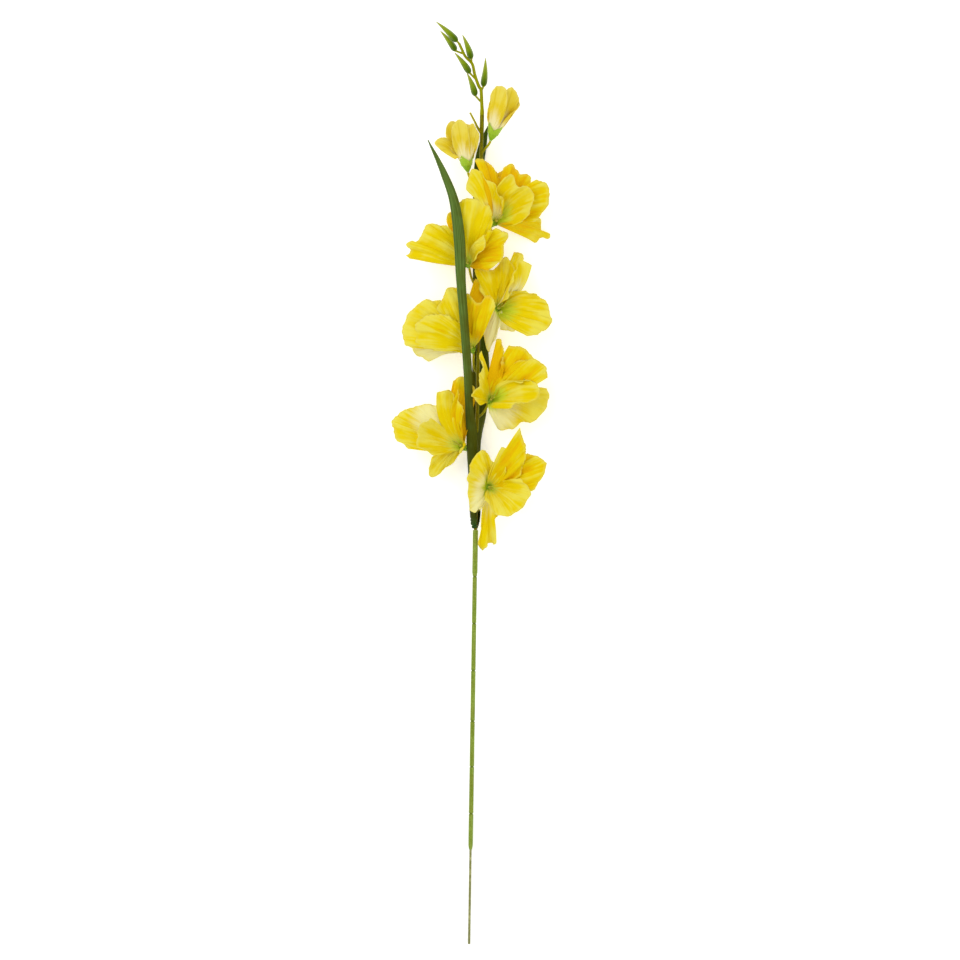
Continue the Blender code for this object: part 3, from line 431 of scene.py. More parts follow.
def rimAt(item, share):
    rim, marks = item["rim"], item["marks"]
    target = share * marks[-1]
    index = 0
    while index < len(rim) - 2 and marks[index + 1] < target:
        index += 1
    reach = marks[index + 1] - marks[index]

    def heading(at):
        before, after = max(at - 1, 0), min(at + 1, len(rim) - 1)
        return (rim[after] - rim[before]) * (reach / (marks[after] - marks[before]))

    start, end = rim[index], rim[index + 1]
    return bezier(start, start + heading(index) / 3.0, end - heading(index + 1) / 3.0, end,
                  (target - marks[index]) / reach)


def petalRay(flower, shape, item, rank, v, seed):
    # the curve from the root to the rim at v, -1 to 1 along the rim, as four curve points
    axis = Vector(flower["axis"]).normalized()
    seat = Vector(flower["seat"])
    outward = item["middle"] - seat
    height = outward.dot(axis)
    outward = (outward - axis * height).normalized()
    across = axis.cross(outward)
    turn = math.radians(petalForm["rootHalfAngle"])
    turn = math.copysign(turn, (item["rim"][-1] - item["rim"][0]).dot(across)) * v
    radial = outward * math.cos(turn) + across * math.sin(turn)
    root = seat + axis * petalForm["rootHeight"]
    root += radial * (shape["rootRadius"] + petalForm["rootStep"] * rank)
    edge = rimAt(item, 0.5 * (v + 1.0))
    travel = 0.5 * (v + 1.0) * item["marks"][-1]
    nibble = sum(part * wander(travel / reach, seed, shift) for reach, part, shift in petalForm["nibbles"])
    edge += (edge - root).normalized() * (petalForm["nibble"] * nibble)
    length = (edge - root).length
    leaving = axis * math.cos(shape["flare"]) + radial * math.sin(shape["flare"])
    rise = (shape["rise"] + petalForm["risePerMm"] * height) * length
    pullStart = root + leaving * max(rise, shape["leastRise"])
    pullStart += (edge - rimAt(item, 0.5)) * tints[item["tint"]][4]
    endWay = (edge - pullStart).normalized() - axis * item["curl"]
    return root, pullStart, edge - endWay.normalized() * (petalForm["rimPull"] * length), edge


def wave(kind, travel, u, seed, drift=0.0):
    across, turns, shift = petalForm[kind]
    return wander(travel / across + drift, u * turns, seed + shift)


def addPetal(bm, flower, shape, item, rank, seed):
    form = petalForm
    columns = form["columns"]
    rays = [
        petalRay(flower, shape, item, rank, 2.0 * at / columns - 1.0, seed) for at in range(columns + 1)
    ]
    verts = bmesh.ops.create_grid(bm, x_segments=columns, y_segments=form["rows"], size=1.0)["verts"]
    places = {}
    for vert in verts:
        places[vert] = (0.5 * (vert.co.x + 1.0), 0.5 * (vert.co.y + 1.0))
        v, u = places[vert]
        vert.co = bezier(*rays[round(v * columns)], u)
    faces = list({face for vert in verts for face in vert.link_faces})
    bm.normal_update()
    axis = Vector(flower["axis"]).normalized()
    up, inward = form["facing"]
    facing = axis * up - (item["middle"] - Vector(flower["seat"])).normalized() * inward
    if sum(face.normal.dot(facing) * face.calc_area() for face in faces) < 0.0:
        bmesh.ops.reverse_faces(bm, faces=faces)
        bm.normal_update()
    fold = bm.verts.layers.float["fold"]
    tint = bm.verts.layers.float_color["tint"]
    uvMap = bm.loops.layers.uv["petalMap"]
    gold, cream, green, leaning = tints[item["tint"]][:4]
    broad, fine, pressed, ruffled = form["foldShadeTone"]
    for vert in verts:
        v, u = places[vert]
        travel = v * item["marks"][-1]
        swell = wave("swell", travel, u, seed)
        folds = wave("fold", travel, u, seed, form["drift"] * swell)
        pleats = wave("pleat", travel, u, seed, form["drift"] * folds)
        patch = smooth(0.5 + form["patchEdge"] * wave("crease", travel, u, seed))
        pleats *= form["leastPleats"] + form["deepPleats"] * patch
        crimp = wave("crimp", travel, u, seed)
        phase = seed + form["ruffleStray"] * wander(travel / form["strayLength"], seed)
        ruffle = math.sin(2.0 * math.pi * travel / form["ruffleLength"] + phase)
        spread = smooth(u / form["foldsFrom"]) * shape["creasing"]
        lift = form["swellDepth"] * swell * spread
        lift += form["foldDepth"] * folds * spread
        lift += form["pleatDepth"] * pleats * spread * (0.5 + 0.5 * u)
        lift += form["ruffleDepth"] * ruffle * u**4 * shape["creasing"]
        lift += form["crimpDepth"] * crimp * u**5 * shape["creasing"]
        vert.co = settle(vert.co + vert.normal * lift)
        # the fold heights, which the fabric turns into painted shade in the valleys and painted highlight
        # on the ridges
        vert[fold] = (broad * swell + fine * folds + pressed * pleats) * spread + ruffled * ruffle * u**3
        vert[tint] = (gold, max(cream * (1.0 + leaning * (2.0 * v - 1.0)), 0.0), green, 1.0)
    for face in faces:
        for loop in face.loops:
            loop[uvMap].uv = places[loop.vert]


def petalFabric(name, **dyes):
    # dyed polyester satin, die-cut and pressed in heated moulds: soft, faintly sheeny, with painted shade
    # as deeper gold in the valleys of the folds and painted highlight as paler gold on their ridges, washed
    # out to cream near the foot, and a paler cut edge
    dye = {part: hexColour(value) for part, value in dyes.items()}
    material, tree, shader = newMaterial(
        name, Roughness=0.62, Sheen_Weight=0.02, Sheen_Roughness=0.4, Sheen_Tint=hexColour("#FFEFA0"),
        IOR=1.46, Specular_IOR_Level=0.2, Specular_Tint=hexColour("#FFE680"),
        Subsurface_Weight=0.06, Subsurface_Radius=(0.002, 0.0015, 0.0004), Subsurface_Scale=1.0,
    )
    uvMap = addNode(tree, "ShaderNodeUVMap", uv_map="petalMap")[0]
    parts = addNode(tree, "ShaderNodeSeparateXYZ", {0: uvMap})
    v, u = parts[0], parts[1]
    tint = addNode(tree, "ShaderNodeAttribute", attribute_name="tint")["Color"]
    amounts = addNode(tree, "ShaderNodeSeparateColor", {0: tint})
    golden, creamy, greenish = amounts[0], amounts[1], amounts[2]
    fold = addNode(tree, "ShaderNodeAttribute", attribute_name="fold")["Fac"]
    place = addNode(tree, "ShaderNodeTexCoord")["Object"]
    cloud = addNode(tree, "ShaderNodeTexNoise", {"Vector": place, "Scale": 55.0, "Detail": 2.0})[0]
    across = addNode(tree, "ShaderNodeMath", {0: v, 1: 26.0}, operation="MULTIPLY")[0]
    ray = addNode(tree, "ShaderNodeCombineXYZ", {0: across, 1: u})[0]
    veins = addNode(tree, "ShaderNodeTexNoise", {"Vector": ray, "Scale": 1.0, "Detail": 3.0})[0]
    # gold by petal, as painted shade in the valleys of the folds and painted highlight (less gold) on their
    # ridges, in soft clouds, along the veins and towards the middle of the petal
    goldAndFoldShade = golden
    for amount, weight in ((fold, -0.65), (cloud, 1.6), (veins, 0.9)):
        goldAndFoldShade = addNode(tree, "ShaderNodeMath", {
            0: amount, 1: weight, 2: goldAndFoldShade,
        }, operation="MULTIPLY_ADD")[0]
    rim = addNode(tree, "ShaderNodeMapRange", {0: u, 1: 0.6, 2: 1.0, 3: -1.15, 4: -1.7})[0]
    goldAndFoldShade = addNode(tree, "ShaderNodeMath", {0: goldAndFoldShade, 1: rim}, operation="ADD")[0]
    # the deepest gold comes where the petal's gold is strong and in the fold valleys: partly dye, partly
    # painted shade
    rich = addNode(tree, "ShaderNodeMath", {0: golden, 1: 0.8, 2: goldAndFoldShade}, operation="MULTIPLY_ADD")[0]
    colour = dye["pale"]
    for level, low, high, tone in ((goldAndFoldShade, -0.35, 0.5, "gold"), (rich, 0.95, 1.75, "deep")):
        share = addNode(tree, "ShaderNodeMapRange", {0: level, 1: low, 2: high},
                        interpolation_type="SMOOTHSTEP")[0]
        colour = addNode(tree, "ShaderNodeMix", {0: share, 6: colour, 7: dye[tone]}, data_type="RGBA")[2]
    # cream towards the foot, then green, then darker streaks down the throat
    ragged = addNode(tree, "ShaderNodeMath", {0: veins, 1: 0.45, 2: u}, operation="MULTIPLY_ADD")[0]
    for amount, reach, soft, tone in (
        (creamy, 0.42, 0.2, "cream"), (greenish, 0.2, 0.14, "claw"), (greenish, 0.08, 0.09, "throat"),
    ):
        level = addNode(tree, "ShaderNodeMath", {
            0: amount, 1: -reach, 2: ragged,
        }, operation="MULTIPLY_ADD")[0]
        share = addNode(tree, "ShaderNodeMapRange", {
            0: level, 1: 0.22 - soft, 2: 0.22 + soft, 3: 1.0, 4: 0.0,
        }, interpolation_type="SMOOTHSTEP")[0]
        colour = addNode(tree, "ShaderNodeMix", {0: share, 6: colour, 7: dye[tone]}, data_type="RGBA")[2]
    lines = addNode(tree, "ShaderNodeMapRange", {0: veins, 1: 0.54, 2: 0.66, 3: 0.0, 4: 0.5})[0]
    depth = addNode(tree, "ShaderNodeMath", {0: greenish, 1: 0.24}, operation="MULTIPLY")[0]
    depth = addNode(tree, "ShaderNodeMapRange", {0: u, 1: 0.04, 2: depth, 3: 1.0, 4: 0.0})[0]
    lines = addNode(tree, "ShaderNodeMath", {0: lines, 1: depth}, operation="MULTIPLY")[0]
    cut = addNode(tree, "ShaderNodeMapRange", {0: u, 1: 0.93, 2: 1.0, 3: 0.0, 4: 0.5})[0]
    for share, tone in ((lines, "streak"), (cut, "edge")):
        colour = addNode(tree, "ShaderNodeMix", {0: share, 6: colour, 7: dye[tone]}, data_type="RGBA")[2]
    tree.links.new(colour, shader.inputs["Base Color"])
    # weave: real threads are 0.15 mm apart, drawn at 0.6 mm so that they show, over fine pressed veins
    weave = addNode(tree, "ShaderNodeTexVoronoi", {"Vector": place, "Scale": 1.0 / (0.6 * mm)})["Distance"]
    height = addNode(tree, "ShaderNodeMath", {0: veins, 1: 5.0, 2: weave}, operation="MULTIPLY_ADD")[0]
    bump = addNode(tree, "ShaderNodeBump", {"Height": height, "Strength": 0.45, "Distance": 0.00012})[0]
    tree.links.new(bump, shader.inputs["Normal"])
    return material


satin = petalFabric(
    "yellowPolyesterSatin", pale="#EDDF50", gold="#E9D002", deep="#E8B802", cream="#F3ECA4",
    claw="#D2E034", throat="#B4CC20", streak="#86880A", edge="#EEDE68",
)
paleSatin = petalFabric(
    "creamPolyesterSatin", pale="#EAD756", gold="#E5C922", deep="#E2B608", cream="#F5E9AC",
    claw="#E8E49A", throat="#DCD878", streak="#C8B83C", edge="#EDDE7C",
)


def makeFlower(flower, shape, fabric, slot, node):
    bm = bmesh.new()
    bm.verts.layers.float.new("fold")
    bm.verts.layers.float_color.new("tint")
    bm.loops.layers.uv.new("petalMap")
    seedStart = sum(ord(letter) for letter in flower["name"]) * petalForm["nameSeed"]
    innerFirst = sorted(flower["petals"], key=lambda item: -item["middle"].z)
    for rank, item in enumerate(innerFirst):
        addPetal(bm, flower, shape, item, rank, seedStart + petalForm["rankSeed"] * rank)
    piece = finishPiece("petals_" + flower["name"], bm, fabric, slot, node,
                        sharpAngle=petalForm["sharpAngle"])
    addWall(piece, petalForm["thickness"])


for flower in flowers:
    makeFlower(flower, openShape, satin, "petal_fabric", "bloom_" + flower["name"])
for flower in halfOpenFlowers:
    makeFlower(flower, halfOpenShape, paleSatin, "half_open_fabric", "half_open_" + flower["name"])
print("petals made")


# Calyxes: moulded cones with pointed lobes round the flower's foot

def calyxPlastic():
    # injection-moulded polyethylene, sprayed paler at the lobes: waxy, a little translucent
    material, tree, shader = newMaterial(
        "calyxPolyethylene", Roughness=0.5, IOR=1.51, Specular_IOR_Level=0.3,
        Subsurface_Weight=0.15, Subsurface_Radius=(0.002, 0.003, 0.001), Subsurface_Scale=1.0,
    )
    rise = addNode(tree, "ShaderNodeAttribute", attribute_name="rise")["Fac"]
    place = addNode(tree, "ShaderNodeTexCoord")["Object"]
    cloud = addNode(tree, "ShaderNodeTexNoise", {"Vector": place, "Scale": 220.0, "Detail": 2.0})[0]
    mottled = addNode(tree, "ShaderNodeMath", {0: cloud, 1: 0.6, 2: rise}, operation="MULTIPLY_ADD")[0]
    share = addNode(tree, "ShaderNodeMapRange", {0: mottled, 1: 0.25, 2: 1.15})[0]
    colour = addNode(tree, "ShaderNodeMix", {
        0: share, 6: hexColour("#7FAE0C"), 7: hexColour("#A4C82A"),
    }, data_type="RGBA")[2]
    tree.links.new(colour, shader.inputs["Base Color"])
    # shallow mould grain, 1 to 4 mm across
    bump = addNode(tree, "ShaderNodeBump", {"Height": cloud, "Strength": 0.5, "Distance": 0.0002})[0]
    tree.links.new(bump, shader.inputs["Normal"])
    return material


calyxGreen = calyxPlastic()
calyxForm = {
    "sides": 24, "rings": 10,
    "lobes": 3, "firstLobe": 30.0, "firstLobeLeft": 60.0,  # degrees round the axis
    "lobeColumns": 12, "lobeRows": 14,
    "lobeHalfAngle": 60.0, "lobeThickness": 0.6,
    "lobeFoot": -2.5, "lobeGap": 0.15,  # mm: where a lobe starts, and how far off the cone
    "tipNarrowing": 0.93, "narrowFrom": 0.3,
    "riseAtSeat": 0.6,  # how far the paler spray has come at the seat; it is full at the lobes' tips
    "sharpAngle": 60.0,
}


def makeCalyx(flower, shape):
    form = calyxForm
    axis = Vector(flower["axis"]).normalized()
    seat = Vector(flower["seat"])
    length, radii = shape["calyxLength"], shape["calyxRadii"]
    base = seat - axis * length
    bm = bmesh.new()
    rise = bm.verts.layers.float.new("rise")
    path, sizes = [], []
    for step in range(form["rings"] + 1):
        share = step / form["rings"]
        path.append(base + axis * (length * share))
        if share < 0.5:
            sizes.append(mix(radii[0], radii[1], 0.4 * smooth(share * 2.0) + 1.2 * share))
        else:
            sizes.append(mix(radii[1], radii[2], 2.0 * share - 1.0))
    for vert in addRod(bm, path, sizes, form["sides"]):
        vert[rise] = form["riseAtSeat"] * (vert.co - base).dot(axis) / length
    turned = axis.to_track_quat("Z", "Y").to_matrix()
    firstLobe = form["firstLobeLeft"] if flower["name"] == "left" else form["firstLobe"]
    for lobe in range(form["lobes"]):
        middle = firstLobe + 360.0 * lobe / form["lobes"]
        verts = bmesh.ops.create_grid(
            bm, x_segments=form["lobeColumns"], y_segments=form["lobeRows"], size=1.0)["verts"]
        faces = list({face for vert in verts for face in vert.link_faces})
        for vert in verts:
            v, u = vert.co.x, 0.5 * (vert.co.y + 1.0)
            height = mix(form["lobeFoot"], shape["lobeLength"], u)
            narrowed = smooth((u - form["narrowFrom"]) / (1.0 - form["narrowFrom"]))
            narrowing = 1.0 - form["tipNarrowing"] * narrowed
            angle = math.radians(middle + v * form["lobeHalfAngle"] * narrowing)
            radius = radii[2] + form["lobeGap"] + shape["lobeSlope"] * height
            vert.co = seat + turned @ Vector((radius * math.cos(angle), radius * math.sin(angle), height))
            vert[rise] = mix(form["riseAtSeat"], 1.0, u)
        bmesh.ops.solidify(bm, geom=faces, thickness=form["lobeThickness"])
    bmesh.ops.recalc_face_normals(bm, faces=bm.faces)
    name = flower["name"]
    finishPiece("sepals_" + name, bm, calyxGreen, "calyx_plastic", "calyx_" + name,
                sharpAngle=form["sharpAngle"])


for flower in flowers:
    makeCalyx(flower, openShape)
for flower in halfOpenFlowers:
    makeCalyx(flower, halfOpenShape)
print("calyxes made")


# Stamens: three bent filaments with their anthers on a button

def stamenPlastic():
    # soft polyethylene with flock-dusted anthers: matt, slightly grainy
    material, tree, shader = newMaterial("stamenPolyethylene", Roughness=0.6, IOR=1.51)
    place = addNode(tree, "ShaderNodeTexCoord")["Object"]
    grain = addNode(tree, "ShaderNodeTexNoise", {"Vector": place, "Scale": 1400.0, "Detail": 2.0})[0]
    share = addNode(tree, "ShaderNodeMapRange", {0: grain, 1: 0.35, 2: 0.7})[0]
    colour = addNode(tree, "ShaderNodeMix", {
        0: share, 6: hexColour("#D3CC46"), 7: hexColour("#9AA32A"),
    }, data_type="RGBA")[2]
    tree.links.new(colour, shader.inputs["Base Color"])
    bump = addNode(tree, "ShaderNodeBump", {"Height": grain, "Strength": 0.6, "Distance": 0.0002})[0]
    tree.links.new(bump, shader.inputs["Normal"])
    return material


stamenYellow = stamenPlastic()
stamenForm = {
    "length": 15.0, "hubLength": 4.5,
    "gap": 0.3,  # mm, as in the frame
    "button": ((0.0, 1.6), (0.5, 1.8), (1.4, 1.7), (2.1, 1.2), (2.5, 0.5)),  # height and radius
    "buttonSides": 16, "filamentSides": 8, "antherSides": 10,
    "angles": (20.0, 140.0, 260.0),
    "filamentRadius": 0.4, "filamentPull": 4.0, "filamentParts": 8,
    "footHeight": 1.0, "footReach": 0.4, "tipReach": 1.4, "bow": 0.6,
    "antherRadius": 0.75, "antherLength": 5.0,
    "anther": ((-0.06, 0.4), (0.05, 0.85), (0.25, 1.0), (0.6, 0.9), (0.9, 0.55), (1.0, 0.2)),
}


def makeStamens(flower):
    form = stamenForm
    axis = Vector(flower["axis"]).normalized()
    foot = Vector(flower["seat"]) + axis * (form["hubLength"] + form["gap"])
    turned = axis.to_track_quat("Z", "Y").to_matrix()
    pull = axis * form["filamentPull"]
    parts = form["filamentParts"]
    stops, radii = zip(*form["button"])
    bm = bmesh.new()
    addRod(bm, [foot + axis * stop for stop in stops], radii, form["buttonSides"])
    for angle in form["angles"]:
        lean = turned @ Vector((math.cos(math.radians(angle)), math.sin(math.radians(angle)), 0.0))
        start = foot + axis * form["footHeight"] + lean * form["footReach"]
        end = foot + axis * (form["length"] - form["antherLength"]) + lean * form["tipReach"]
        pullEnd = end - pull - lean * form["bow"]
        points = [bezier(start, start + pull, pullEnd, end, step / parts) for step in range(parts + 1)]
        addRod(bm, points, [form["filamentRadius"]] * len(points), form["filamentSides"])
        way = (end - points[-2]).normalized() * form["antherLength"]
        shares, sizes = zip(*form["anther"])
        antherRadii = [form["antherRadius"] * size for size in sizes]
        addRod(bm, [end + way * share for share in shares], antherRadii, form["antherSides"])
    name = "stamens_" + flower["name"]
    finishPiece(name, bm, stamenYellow, "stamen_plastic", name)


for flower in flowers:
    makeStamens(flower)
print("stamens made")


# Leaves: centreline, half width, the way the outer face looks, and the bend across the blade

leaves = {
    "leaf_front": (
        ((2.3, -48.0, 18.0), 4.0, (-0.57, 0.0, 0.82), 3.2),
        ((0.5, -33.0, 19.3), 5.6, (-0.5, 0.0, 0.87), 4.9),
        ((0.8, 4.0, 24.5), 7.2, (-0.3, 0.0, 0.95), 6.0),
        ((0.2, 36.0, 31.0), 7.2, (-0.2, 0.0, 0.98), 8.0),
        ((-0.9, 60.0, 37.5), 6.3, (-0.2, 0.0, 0.98), 9.0),
        ((-3.0, 84.0, 43.0), 4.7, (-0.20, 0.0, 0.98), 9.0),
        ((-4.5, 121.0, 49.0), 5.0, (-0.20, 0.0, 0.98), 9.0),
        ((-8.4, 176.0, 57.0), 5.0, (-0.20, 0.0, 0.98), 10.0),
        ((-11.9, 222.0, 60.5), 5.4, (-0.10, 0.0, 1.0), 11.0),
        ((-13.3, 263.0, 60.0), 6.4, (0.0, 0.0, 1.0), 12.0),
        ((-19.0, 305.0, 56.0), 5.3, (0.1, 0.0, 1.0), 12.0),
        ((-31.5, 339.0, 49.0), 3.5, (0.2, 0.0, 1.0), 12.0),
        ((-47.4, 372.0, 40.0), 0.5, (0.2, 0.0, 1.0), 12.0),
    ),
    "leaf_right": (
        ((7.0, -22.0, 18.0), 3.4, (0.8, 0.0, 0.6), 2.8),
        ((7.0, 0.0, 19.8), 4.0, (0.68, 0.0, 0.73), 3.4),
        ((7.0, 24.0, 21.2), 4.5, (0.6, 0.0, 0.8), 4.0),
        ((7.4, 44.0, 21.4), 4.8, (0.54, 0.0, 0.84), 4.6),
        ((8.6, 58.0, 18.6), 5.0, (0.5, 0.0, 0.87), 7.0),
        ((11.3, 76.0, 10.8), 5.4, (0.45, 0.0, 0.89), 13.0),
        ((13.0, 96.0, 7.4), 6.0, (0.3, 0.0, 0.95), 16.0),
        ((13.8, 123.0, 7.2), 5.6, (0.2, 0.0, 0.98), 16.0),
        ((13.4, 150.0, 8.4), 4.4, (0.1, 0.0, 1.0), 16.0),
        ((13.2, 178.0, 10.4), 3.0, (0.0, 0.0, 1.0), 16.0),
        ((14.4, 200.0, 12.4), 0.5, (0.0, 0.0, 1.0), 16.0),
    ),
    "leaf_back": (
        ((3.8, -48.0, 13.0), 3.0, (0.0, 0.0, -1.0), 2.8),
        ((4.6, -40.0, 11.8), 5.4, (0.1, 0.0, -0.99), 4.4),
        ((4.9, -31.0, 11.3), 6.2, (0.1, 0.0, -0.99), 5.0),
        ((4.4, -16.0, 11.0), 5.2, (0.0, 0.0, -1.0), 5.4),
        ((3.8, -3.0, 10.0), 4.2, (-0.1, 0.0, -0.99), 6.5),
        ((4.5, 25.0, 6.5), 4.6, (0.0, 0.0, -1.0), 12.0),
        ((5.0, 55.0, 2.2), 5.4, (0.0, 0.0, -1.0), 30.0),
        ((6.0, 90.0, -1.0), 6.0, (0.0, 0.0, -1.0), 60.0),
        ((7.2, 150.0, -2.0), 6.5, (0.0, 0.0, -1.0), 90.0),
        ((7.6, 220.0, -2.0), 6.5, (0.0, 0.0, -1.0), 90.0),
        ((7.2, 285.0, -2.0), 6.2, (0.0, 0.0, -1.0), 90.0),
        ((7.6, 340.0, -1.0), 5.4, (0.0, 0.0, -1.0), 60.0),
        ((11.6, 367.0, 2.0), 4.4, (0.0, 0.0, -1.0), 30.0),
        ((17.6, 389.0, 5.0), 0.5, (0.0, 0.0, -1.0), 20.0),
    ),
}
leafForm = {
    "columns": 14,
    "rowLength": 1.5,  # mm between rows
    "thickness": 0.45,
    "tipHalfWidth": 0.5, "leastBend": 2.5,
    "midribDepth": 0.35, "midribHalfWidth": 0.9, "midribFade": 3.0,  # mm of half width below which it fades
    "veinDepth": 0.12, "veinSpacing": 1.6,
    "wrinkle": 0.5, "wrinkleWidth": 4.0, "wrinkleLength": 14.0, "wrinkleFade": 4.0,
    "footWrinkle": 2.6, "footLength": 34.0,  # mm, the crumpled part that clasps the stem
    "crumpleWidth": 2.6, "crumpleLength": 3.4, "crumpleSeed": 7.0, "crumpleStart": 4.0,
    "sharpAngle": 75.0,
}


def leafFabric(name, deep, light):
    # heat-pressed polyester with a resin coat, dyed dark: leathery, parallel veins, dull highlights
    material, tree, shader = newMaterial(
        name, IOR=1.5, Specular_IOR_Level=0.25, Specular_Tint=hexColour("#D6DC7C"))
    uvMap = addNode(tree, "ShaderNodeUVMap", uv_map="leafMap")[0]
    parts = addNode(tree, "ShaderNodeSeparateXYZ", {0: uvMap})
    v, along = parts[0], parts[1]
    place = addNode(tree, "ShaderNodeTexCoord")["Object"]
    cloud = addNode(tree, "ShaderNodeTexNoise", {"Vector": place, "Scale": 90.0, "Detail": 4.0})[0]
    lane = addNode(tree, "ShaderNodeMath", {0: v, 1: 14.0}, operation="MULTIPLY")[0]
    reach = addNode(tree, "ShaderNodeMath", {0: along, 1: 9.0}, operation="MULTIPLY")[0]
    lanes = addNode(tree, "ShaderNodeCombineXYZ", {0: lane, 1: reach})[0]
    veins = addNode(tree, "ShaderNodeTexNoise", {"Vector": lanes, "Scale": 1.0, "Detail": 3.0})[0]
    share = addNode(tree, "ShaderNodeMapRange", {0: veins, 1: 0.32, 2: 0.7},
                    interpolation_type="SMOOTHSTEP")[0]
    colour = addNode(tree, "ShaderNodeMix", {
        0: share, 6: hexColour(deep), 7: hexColour(light),
    }, data_type="RGBA")[2]
    # olive painted shade: patchy, heavier on one side and towards the foot, where the leaf lies in shadow
    oliveShade = cloud
    for amount, weight in ((along, -0.9), (v, 0.5)):
        oliveShade = addNode(tree, "ShaderNodeMath", {
            0: amount, 1: weight, 2: oliveShade,
        }, operation="MULTIPLY_ADD")[0]
    # then the paler left edge, a painted highlight on the side the light falls on, the darker lower half
    # and the foot that clasps the stem
    for level, start, end, first, last, tone in (
        (oliveShade, 0.0, 0.6, 0.0, 0.9, "#4F4E04"), (v, 0.0, 0.2, 0.4, 0.0, "#4B7048"),
        (along, 0.05, 0.6, 1.0, 0.0, "#363E04"), (along, 0.02, 0.08, 0.8, 0.0, "#2C5A2A"),
    ):
        share = addNode(tree, "ShaderNodeMapRange", {0: level, 1: start, 2: end, 3: first, 4: last})[0]
        colour = addNode(tree, "ShaderNodeMix", {
            0: share, 6: colour, 7: hexColour(tone),
        }, data_type="RGBA")[2]
    tree.links.new(colour, shader.inputs["Base Color"])
    dull = addNode(tree, "ShaderNodeMapRange", {0: along, 1: 0.03, 2: 0.12, 3: 0.22, 4: 0.46})[0]
    tree.links.new(dull, shader.inputs["Roughness"])
    height = addNode(tree, "ShaderNodeMath", {0: cloud, 1: 0.6, 2: veins}, operation="MULTIPLY_ADD")[0]
    bump = addNode(tree, "ShaderNodeBump", {"Height": height, "Strength": 0.7, "Distance": 0.0004})[0]
    tree.links.new(bump, shader.inputs["Normal"])
    return material


leafGreen = leafFabric("leafPolyester", "#435C1E", "#66803A")
# the right and back leaves lie under the others: a darker copy of the fabric stands for them as painted
# shade
shadedLeafGreen = leafFabric("shadedLeafPolyester", "#2E400C", "#4A5E1A")


def makeLeaf(name, stations, fabric):
    form = leafForm
    count = len(stations) - 1

    def station(value, index):
        found = stations[min(max(index, 0), count)][value]
        return Vector(found) if isinstance(found, tuple) else found

    def alongLeaf(value, u):
        at = min(u * count, count - 1e-6)
        index = int(at)
        return catmull(*[station(value, index + offset) for offset in (-1, 0, 1, 2)], at - index)

    length = sum((station(0, index + 1) - station(0, index)).length for index in range(count))
    rows = round(length / form["rowLength"])
    bm = bmesh.new()
    uvMap = bm.loops.layers.uv.new("leafMap")
    verts = bmesh.ops.create_grid(bm, x_segments=form["columns"], y_segments=rows, size=1.0)["verts"]
    places = {}
    for vert in verts:
        v, u = vert.co.x, 0.5 * (vert.co.y + 1.0)
        places[vert] = (0.5 * (v + 1.0), u)
        centre = alongLeaf(0, u)
        tangent = (alongLeaf(0, min(u + 0.01, 1.0)) - alongLeaf(0, max(u - 0.01, 0.0))).normalized()
        outer = alongLeaf(2, u)
        outer = (outer - tangent * outer.dot(tangent)).normalized()
        across = tangent.cross(outer)
        bend = max(alongLeaf(3, u), form["leastBend"])
        halfWidth = max(alongLeaf(1, u), form["tipHalfWidth"])
        x = v * halfWidth
        travel = u * length
        lift = -form["midribDepth"] * math.exp(-((x / form["midribHalfWidth"]) ** 2))
        lift *= smooth(halfWidth / form["midribFade"])
        lift += form["veinDepth"] * math.cos(x * 2.0 * math.pi / form["veinSpacing"])
        wrinkle = wander(x / form["wrinkleWidth"], travel / form["wrinkleLength"], length)
        lift += form["wrinkle"] * wrinkle * smooth(halfWidth / form["wrinkleFade"])
        crumple = wander(x / form["crumpleWidth"], travel / form["crumpleLength"], form["crumpleSeed"])
        crumple *= smooth(1.3 - travel / form["footLength"])
        lift += form["footWrinkle"] * crumple * smooth(travel / form["crumpleStart"])
        place = centre + across * (bend * math.sin(x / bend)) - outer * (bend * (1.0 - math.cos(x / bend)))
        vert.co = settle(place + outer * lift)
    for face in bm.faces:
        for loop in face.loops:
            loop[uvMap].uv = places[loop.vert]
    bm.normal_update()
    if sum(face.normal.dot(alongLeaf(2, 0.1)) for face in bm.faces) < 0.0:
        bmesh.ops.reverse_faces(bm, faces=bm.faces)
    blade = "blade_" + name.split("_")[1]
    piece = finishPiece(blade, bm, fabric, "leaf_fabric", name, sharpAngle=form["sharpAngle"])
    addWall(piece, form["thickness"])


for name, stations in leaves.items():
    makeLeaf(name, stations, leafGreen if name == "leaf_front" else shadedLeafGreen)
print("leaves made")


# Stem: bare wire end, ringed sleeve, then the flower stem with its pegs

wireForm = {"topY": 386.0, "radius": 1.28, "sides": 16, "step": 8.0, "endRadius": 0.82, "endLength": 0.25}
sleeveForm = {
    "radius": 2.45, "bore": 1.38, "bottomY": -397.0, "topY": -50.0, "sides": 32,
    "foot": ((0.0, 0.3), (1.2, 0.5)),  # mm along the sleeve and beyond its bore
    "taper": 5.0,  # mm along it, from where it has its radius
    "swollenRadius": 2.9, "swollenFromY": -98.2, "swollenIn": 2.2,  # just below the leaves it is thicker
    "swollenRim": (0.4, 0.3),  # mm along and in, the bevel of its upper end
    "rings": (-358.0, -307.0, -257.5, -202.5, -151.5, -100.5),
    "ringHalfLength": 1.2, "ringShoulder": 1.2, "ringDepth": 0.65, "ringLip": 0.12,
    "ringWall": (0.45, 0.6),  # shares of the half length and the depth, halfway down a groove
    "grooveDarkDepth": 0.1, "sharpAngle": 40.0,
}
